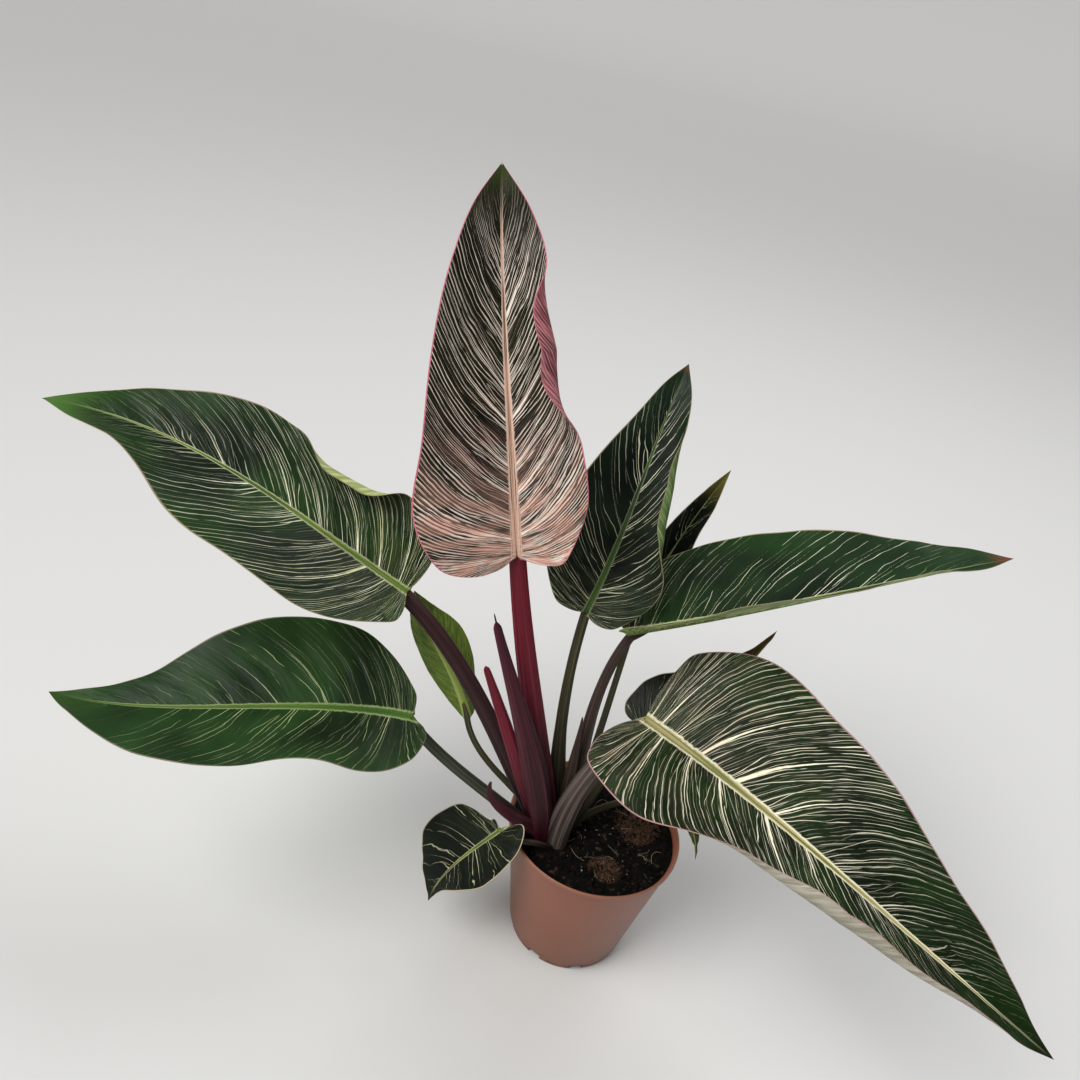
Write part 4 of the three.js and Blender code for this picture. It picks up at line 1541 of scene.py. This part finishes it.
@dataclass
class Pot:
    """Thin tapered plastic pot with a small lip and slots through its bottom corner.

    Lengths are in millimetres, and angles in degrees. The slot_turn is the first slot's place as a share of
    the angle between two slots.
    """

    height: float = 91.5
    base_radius: float = 36.0
    rim_radius: float = 52.5
    wall: float = 1.3
    lip: float = 0.8
    segments: int = 192
    slots: int = 8
    slot_width: float = 9.0
    slot_height: float = 5.0
    slot_depth: float = 4.0
    slot_turn: float = 0.35
    foot_inset: float = 0.7
    edge: float = 0.25
    bevelled_from: float = 50.0
    sharp_from: float = 40.0

    def radius(self, z: float) -> float:
        """Outside radius at a height."""
        share = z / self.height
        return self.base_radius + (self.rim_radius - self.lip - self.base_radius) * share

    def profile(self) -> list[tuple[float, float]]:
        """Outside of the wall as radius and height, from the middle of the floor to the lip's edge.

        Returns:
            The radius and height of each point.
        """
        inner = self.base_radius - self.slot_depth
        line = [(0.0, 0.9), (12.0, 0.9), (24.0, 0.9), (29.0, 0.8), (30.0, 0.35), (31.0, 0.0), (inner, 0.0)]
        inset, foot, top = self.foot_inset, self.slot_height, self.height
        line += [(34.0, 0.0), (34.8, 0.05), (35.2, 0.3), (self.radius(0.9) - inset, 0.9)]
        line += [(self.radius(z) - inset, z) for z in (2.0, 3.5, foot - 0.2)]
        line += [(self.radius(foot) - 0.6 * inset, foot), (self.radius(5.6), foot + 0.5)]
        line += [(self.radius(z), z) for z in np.linspace(7.0, top - 4.5, 26)]
        line += [(self.radius(top - 4), top - 4), (self.radius(top - 3.6) + 0.15, top - 3.6)]
        lip = ((0.3, 3.2), (0.0, 2.8), (0.0, 1.0), (0.1, 0.4), (0.4, 0.0))
        return line + [(self.rim_radius - inward, top - down) for inward, down in lip]

    def build(self) -> bpy.types.Object:
        """Builds the wall as a sheet without its slots, thickens it inwards and rounds its edges.

        Returns:
            The pot.
        """
        profile = self.profile()
        turns = np.arange(self.segments) * FULL_TURN / self.segments
        points = [(0.0, 0.0, profile[0][1])]
        points += [(r * math.cos(turn), r * math.sin(turn), z) for r, z in profile[1:] for turn in turns]
        faces = [(0, 1 + (step + 1) % self.segments, 1 + step) for step in range(self.segments)]
        pitch, slot = FULL_TURN / self.slots, self.slot_width / 2 / self.base_radius
        middles = turns + math.pi / self.segments
        off = abs((middles - self.slot_turn * pitch + pitch / 2) % pitch - pitch / 2)
        for number, face in enumerate(lattice(len(profile) - 1, self.segments, 1)):
            row, step = divmod(number, self.segments)
            near, high = profile[row + 1][0], profile[row + 2][1]
            cut = near >= self.base_radius - self.slot_depth - 0.01 and high <= self.slot_height + 0.01
            if not (cut and off[step] < slot):
                faces.append(face)
        mesh = mesh_of("nursery_pot", (np.array(points) * MM).tolist(), faces)
        with edited(mesh) as work:
            bmesh.ops.recalc_face_normals(work, faces=work.faces)
            middle = min(work.faces, key=lambda face: face.calc_center_median().length)
            if middle.normal.z > 0:
                bmesh.ops.reverse_faces(work, faces=work.faces)
        pot = put("nursery_pot", mesh)
        solid = pot.modifiers.new("wall", "SOLIDIFY")
        solid.thickness = self.wall * MM
        solid.offset = -1.0
        solid.use_even_offset = True
        edge = pot.modifiers.new("edge", "BEVEL")
        edge.width = self.edge * MM
        edge.segments = 2
        edge.limit_method = "ANGLE"
        edge.angle_limit = math.radians(self.bevelled_from)
        settle(pot)
        pot.data.shade_smooth()
        pot.data.set_sharp_from_angle(angle=math.radians(self.sharp_from))
        return dress(pot, PotPlastic().material("pot_plastic"), "pot", "pot")


class ScatterTree(Tree):
    """Scatters copies of one thing over a surface, at random turns and sizes."""

    def __init__(self, name: str) -> None:
        """Starts the tree with the inputs that all scatters have.

        Args:
            name: the tree's name.
        """
        super().__init__(name)
        self.density, self.seed = self.input("Density", "Float"), self.input("Seed", "Int")
        self.finish = self.input("Material", "Material")

    def random(self, kind: str, low: Any, high: Any, step: int) -> Value:
        """Random number or vector of each copy, between two."""
        inputs = {"Min": low, "Max": high, "Seed": self.seed + step}
        return self.value("FunctionNodeRandomValue", {"data_type": kind}, inputs, "Value")

    def strew(self, thing: Any, turn: Value, size: Value) -> bpy.types.NodeSocket:
        """Copies of a thing on random points of the surface.

        Args:
            thing: the geometry to copy.
            turn: the rotation of each copy.
            size: the scale of each copy.

        Returns:
            The copies.
        """
        inputs = {"Mesh": self.entry.outputs[0], "Density": self.density, "Seed": self.seed}
        settings = {"distribute_method": "RANDOM"}
        points = self.geometry("GeometryNodeDistributePointsOnFaces", inputs, settings)
        placed = {"Points": points, "Instance": thing, "Rotation": turn, "Scale": size}
        return self.geometry("GeometryNodeInstanceOnPoints", placed)


class CrumbTree(ScatterTree):
    """Scatters crumbs, each a lump of a few faces."""

    def __init__(self) -> None:
        """Builds the tree."""
        super().__init__("crumbs")
        small, large = self.input("Smallest", "Float"), self.input("Largest", "Float")
        detail = self.input("Detail", "Int")
        lump = self.geometry("GeometryNodeMeshIcoSphere", {"Radius": 1.0, "Subdivisions": detail})
        inputs = {"Vector": self.value("GeometryNodeInputPosition"), "Scale": 1.3, "Detail": 2.0}
        bumps = self.value("ShaderNodeTexNoise", None, inputs, "Color")
        shift = self.vector("SCALE", self.vector("SUBTRACT", bumps, (0.5, 0.5, 0.5)), Scale=1.6)
        lump = self.geometry("GeometryNodeSetPosition", {"Geometry": lump, "Offset": shift})
        turn = self.random("FLOAT_VECTOR", (0.0, 0.0, 0.0), (FULL_TURN,) * 3, 1)
        size = small + (large - small) * self.random("FLOAT", 0.0, 1.0, 2) ** 3.0
        self.close(self.strew(lump, turn, self.join(size, size * 0.8, size * 0.6)), self.finish)


class StrandTree(ScatterTree):
    """Scatters thin curved strands."""

    def __init__(self) -> None:
        """Builds the tree."""
        super().__init__("strands")
        length, radius = self.input("Length", "Float"), self.input("Radius", "Float")
        lift = self.input("Lift", "Float")
        ends = {"Start": (-0.5, 0.0, -0.05), "Middle": (0.1, 0.5, 0.45), "End": (0.5, -0.1, 0.0)}
        arc = self.geometry("GeometryNodeCurveQuadraticBezier", {"Resolution": 8, **ends})
        low, high = self.join(-lift, -lift, 0.0), self.join(lift, lift, FULL_TURN)
        turn = self.random("FLOAT_VECTOR", low, high, 1)
        size = self.random("FLOAT", length * 0.35, length, 2)
        placed = self.strew(arc, turn, self.join(size, size, size))
        real = self.geometry("GeometryNodeRealizeInstances", {"Geometry": placed})
        ring = self.geometry("GeometryNodeCurvePrimitiveCircle", {"Resolution": 4, "Radius": radius})
        tube = {"Curve": real, "Profile Curve": ring, "Fill Caps": True}
        self.close(self.geometry("GeometryNodeCurveToMesh", tube), self.finish)


@dataclass
class Soil:
    """Potting soil with its crumbs, coir strands, roots and a few pale bits, in millimetres."""

    pot: Pot
    level: float = 86.0
    bump: float = 1.1
    gap: float = 0.1
    rings: int = 46
    segments: int = 144
    floor: float = 3.0
    clear: float = 1.6
    patch_rings: int = 15
    patch_segments: int = 40
    clumps: tuple[Triple, ...] = ((27.0, 10.0, 13.0), (9.0, -28.0, 9.0))
    clump_height: float = 2.2

    def height(self, x: np.ndarray, y: np.ndarray) -> np.ndarray:
        """Height of the uneven surface.

        Args:
            x: distances to the right.
            y: distances to the back.

        Returns:
            The heights.
        """
        broad = np.sin(x / 7 + 1) * np.cos(y / 8) + 0.6 * np.sin((x + y) / 4.5)
        fine = 0.35 * np.sin(x * 1.9 + 2 * np.sin(y * 1.3)) * np.sin(y * 2.1 + np.sin(x * 1.1))
        rise = 0.0
        for middle_x, middle_y, size in self.clumps:
            rise = rise + np.exp(-((x - middle_x) ** 2 + (y - middle_y) ** 2) / (0.5 * size**2))
        return self.level + self.bump * broad + fine + self.clump_height * rise

    def patch(self, name: str, centre: Pair, size: float, sink: float) -> bpy.types.Mesh:
        """Round patch of the surface that scatters start from.

        Args:
            name: the mesh's name.
            centre: its middle.
            size: its radius.
            sink: how far below the surface it lies.

        Returns:
            The mesh, in metres.
        """
        rings, count = self.patch_rings, self.patch_segments
        reach = size * np.arange(rings)[:, None] / (rings - 1)
        turns = FULL_TURN * np.arange(count) / count
        x, y = centre[0] + reach * np.cos(turns), centre[1] + reach * np.sin(turns)
        points = np.stack([x, y, self.height(x, y) - sink], -1).reshape(-1, 3)
        return mesh_of(name, (points * MM).tolist(), lattice(rings, count))

    def bed(self) -> bpy.types.Object:
        """The closed body of soil.

        Returns:
            The soil.
        """
        inset = self.pot.wall + self.gap
        edge, floor_edge = self.pot.radius(self.level) - inset, self.pot.radius(4) - inset
        turns = np.arange(self.segments) * FULL_TURN / self.segments
        middle = np.zeros(1)
        points = [np.stack([middle, middle, self.height(middle, middle)], -1)]
        for reach in edge * np.arange(1, self.rings + 1) / self.rings:
            x, y = reach * np.cos(turns), reach * np.sin(turns)
            points.append(np.stack([x, y, self.height(x, y)], -1))
        level = np.full(self.segments, self.floor)
        points.append(np.stack([floor_edge * np.cos(turns), floor_edge * np.sin(turns), level], -1))
        points.append(np.array([(0.0, 0.0, self.floor)]))
        faces = lattice(self.rings + 1, self.segments, 1)
        last = 1 + self.rings * self.segments
        for step in range(self.segments):
            after = (step + 1) % self.segments
            faces += [(0, 1 + step, 1 + after), (last + after, last + step, last + self.segments)]
        bed = shell("soil_bed", np.vstack(points) * MM, faces)
        return dress(bed, Peat().material("peat"), "soil", "soil")

    def build(self) -> None:
        """Builds the soil and all that lies on it."""
        self.bed()
        reach = self.pot.radius(self.level) - self.pot.wall - self.clear
        crumbs, strands = CrumbTree(), StrandTree()
        peat = Peat(dry=0x261C15).material("peat_crumbs")
        coir = Fibre(body=0x6B4E38, shade=0x33241A).material("coir")
        pale = Fibre(body=0x8C8068, shade=0x51493A).material("root")
        grit = Fibre(body=0x8F9482, shade=0x4E5A4A).material("pale_bits")
        # Pieces per square metre, and sizes in metres
        peat_fine = {"Density": 420000.0, "Seed": 3, "Smallest": 0.0004, "Largest": 0.0014, "Detail": 1}
        peat_large = {"Density": 60000.0, "Seed": 8, "Smallest": 0.001, "Largest": 0.0032, "Detail": 2}
        tuft = {"Density": 1300000.0, "Length": 0.007, "Radius": 0.00009, "Lift": 0.9}
        thin_root = {"Density": 5000.0, "Seed": 21, "Length": 0.013, "Radius": 0.00017, "Lift": 0.3}
        gravel = {"Density": 16000.0, "Seed": 12, "Smallest": 0.0004, "Largest": 0.0013, "Detail": 1}
        scatters = [
            ("crumbs_fine", crumbs, peat, (0, 0, reach), 0.2, peat_fine),
            ("crumbs_large", crumbs, peat, (0, 0, reach - 1.5), 0.3, peat_large),
            *((f"coir_{number}", strands, coir, clump, 0.2, {**tuft, "Seed": 5 + number})
              for number, clump in enumerate(self.clumps)),
            ("rootlets", strands, pale, (8, -8, 34), 0.0, thin_root),
            ("pale_bits", crumbs, grit, (4, -16, 26), -0.4, gravel),
        ]
        for name, tree, material, (x, y, size), sink, values in scatters:
            start = self.patch(name, (x, y), size, sink)
            dress(tree.grow(name, start, {**values, "Material": material}), material, "soil")


@dataclass
class Stem:
    """The stub that carries the stalks, with the rings that old leaves left, in millimetres.

    The dome is the last share of its height, in which it closes.
    """

    centre: Pair = (-25.0, -12.0)
    radius: float = 8.0
    bottom: float = 60.0
    top: float = 95.0
    dome: float = 0.2
    rings: int = 45
    segments: int = 48

    def build(self) -> bpy.types.Object:
        """Builds and dresses the stem.

        Returns:
            The stem.
        """
        share = np.linspace(0, 1, self.rings)[:, None]
        angle = FULL_TURN * np.arange(self.segments) / self.segments
        z = self.bottom + (self.top - self.bottom) * share
        dome = np.sqrt(1 - np.clip((share - 1 + self.dome) / self.dome, 0, 1) ** 2)
        scar = 0.3 * np.sin(z * 1.9 + np.sin(angle)) + 0.2 * np.sin(3 * angle + z * 0.4)
        reach = (self.radius - 0.4 + scar) * dome
        x, y = self.centre[0] + reach * np.cos(angle), self.centre[1] + reach * np.sin(angle)
        points = np.stack([x, y, np.broadcast_to(z, x.shape)], -1).reshape(-1, 3) * MM
        faces = [*lattice(self.rings, self.segments), tuple(range(self.segments))]
        stub = shell("stem_stub", points, faces)
        return dress(stub, Fibre(body=0x5A4136, shade=0x2F211B).material("stem_bark"), "stem", "stem")


# Camera, floor and light


@dataclass(frozen=True)
class Viewpoint:
    """The camera, in metres and degrees."""

    position: Triple = (-0.070175, -0.41545, 0.526575)
    pitch: float = 30.92
    roll: float = 12.73
    lens: float = 32.0
    sensor: float = 36.0

    def build(self) -> None:
        """Places the scene's camera."""
        pitch, roll = math.radians(self.pitch), math.radians(self.roll)
        ahead = Vector((0.0, math.cos(pitch), -math.sin(pitch)))
        right = Vector((1.0, 0.0, 0.0))
        up = Vector((0.0, math.sin(pitch), math.cos(pitch)))
        turned_right = right * math.cos(roll) + up * math.sin(roll)
        turned_up = up * math.cos(roll) - right * math.sin(roll)
        data = bpy.data.cameras.new("viewpoint")
        data.lens, data.sensor_width = self.lens, self.sensor
        data.clip_start, data.clip_end = 0.01, 100.0
        camera = put("viewpoint", data)
        axes = Matrix((turned_right, turned_up, -ahead)).transposed()
        camera.matrix_world = Matrix.Translation(self.position) @ axes.to_4x4()
        bpy.context.scene.camera = camera


def aim(light: bpy.types.Object, towards: Vector) -> None:
    """Turns a light to shine in a direction."""
    light.rotation_euler = towards.to_track_quat("-Z", "Y").to_euler()


@dataclass(frozen=True)
class Daylight:
    """Even light from far away that casts soft shadows, in watts per square metre and degrees."""

    towards: Triple = (0.55, 0.45, -0.9)
    power: float = 1.7
    spread: float = 40.0

    def build(self) -> None:
        """Places the light."""
        data = bpy.data.lights.new("daylight", "SUN")
        data.energy, data.angle = self.power, math.radians(self.spread)
        aim(put("daylight", data), Vector(self.towards))


@dataclass(frozen=True)
class SoftLight:
    """A large square light that points at the plant, in metres and watts."""

    name: str
    position: Triple
    size: float
    power: float
    colour: Triple = (1.0, 1.0, 1.0)
    target: Triple = (-0.03, 0.0, 0.2)

    def build(self) -> None:
        """Places the light."""
        data = bpy.data.lights.new(self.name, "AREA")
        data.shape, data.size = "SQUARE", self.size
        data.energy, data.color = self.power, self.colour
        light = put(self.name, data)
        light.location = self.position
        aim(light, Vector(self.target) - Vector(self.position))


@dataclass
class Studio:
    """A pale floor that curves up far behind the plant, soft lights and an even surround, in metres."""

    lights: tuple[SoftLight, ...] = field(default_factory=lambda: (
        SoftLight("key", (-1.0, -0.9, 1.5), 0.9, 12.0, (1.0, 0.985, 0.96)),
        SoftLight("top", (0.5, 0.6, 1.7), 0.9, 10.0, (0.96, 0.98, 1.0)),
    ))
    surround: float = 0.32
    reach: float = 12.0
    depth: float = 6.0
    curve: float = 3.0
    curve_rows: int = 25
    paint: int = 0xD9D8D6
    sky: int = 0xE6E6E8

    def build(self) -> None:
        """Places the floor and the light."""
        turns = np.linspace(0, math.pi / 2, self.curve_rows)
        rise = self.curve * (1 - np.cos(turns))
        back = self.depth + self.curve * np.sin(turns)
        profile = [(-self.depth, 0.0), *zip(back, rise), (float(back[-1]), self.depth)]
        points = [(side * self.reach, y, z) for y, z in profile for side in (-1, 1)]
        faces = [(2 * row, 2 * row + 1, 2 * row + 3, 2 * row + 2) for row in range(len(profile) - 1)]
        mesh = mesh_of("floor", points, faces)
        mesh.shade_smooth()
        mesh.materials.append(Paint("floor_paint").finish(linear(self.paint), 0.7, specular=0.2))
        floor = put("floor", mesh)
        world = bpy.data.worlds.new("surround")
        world.use_nodes = True
        background = world.node_tree.nodes["Background"]
        background.inputs["Color"].default_value = linear(self.sky)
        background.inputs["Strength"].default_value = self.surround
        bpy.context.scene.world = world
        Daylight().build()
        for light in self.lights:
            light.build()
        bpy.context.scene.view_settings.view_transform = "Standard"


def main() -> None:
    """Builds the plant, the pot and the studio."""
    logging.basicConfig(level=logging.INFO, format="%(name)s: %(message)s")
    Viewpoint().build()
    Studio().build()
    pot = Pot()
    pot.build()
    Soil(pot).build()
    Stem().build()
    sweeps = SweepTree()
    for leaf in LEAVES:
        Blade(leaf).build()
        Petiole(leaf).build(sweeps)
    for sheath in SHEATHS:
        sheath.build(sweeps)


if __name__ == "__main__":
    main()
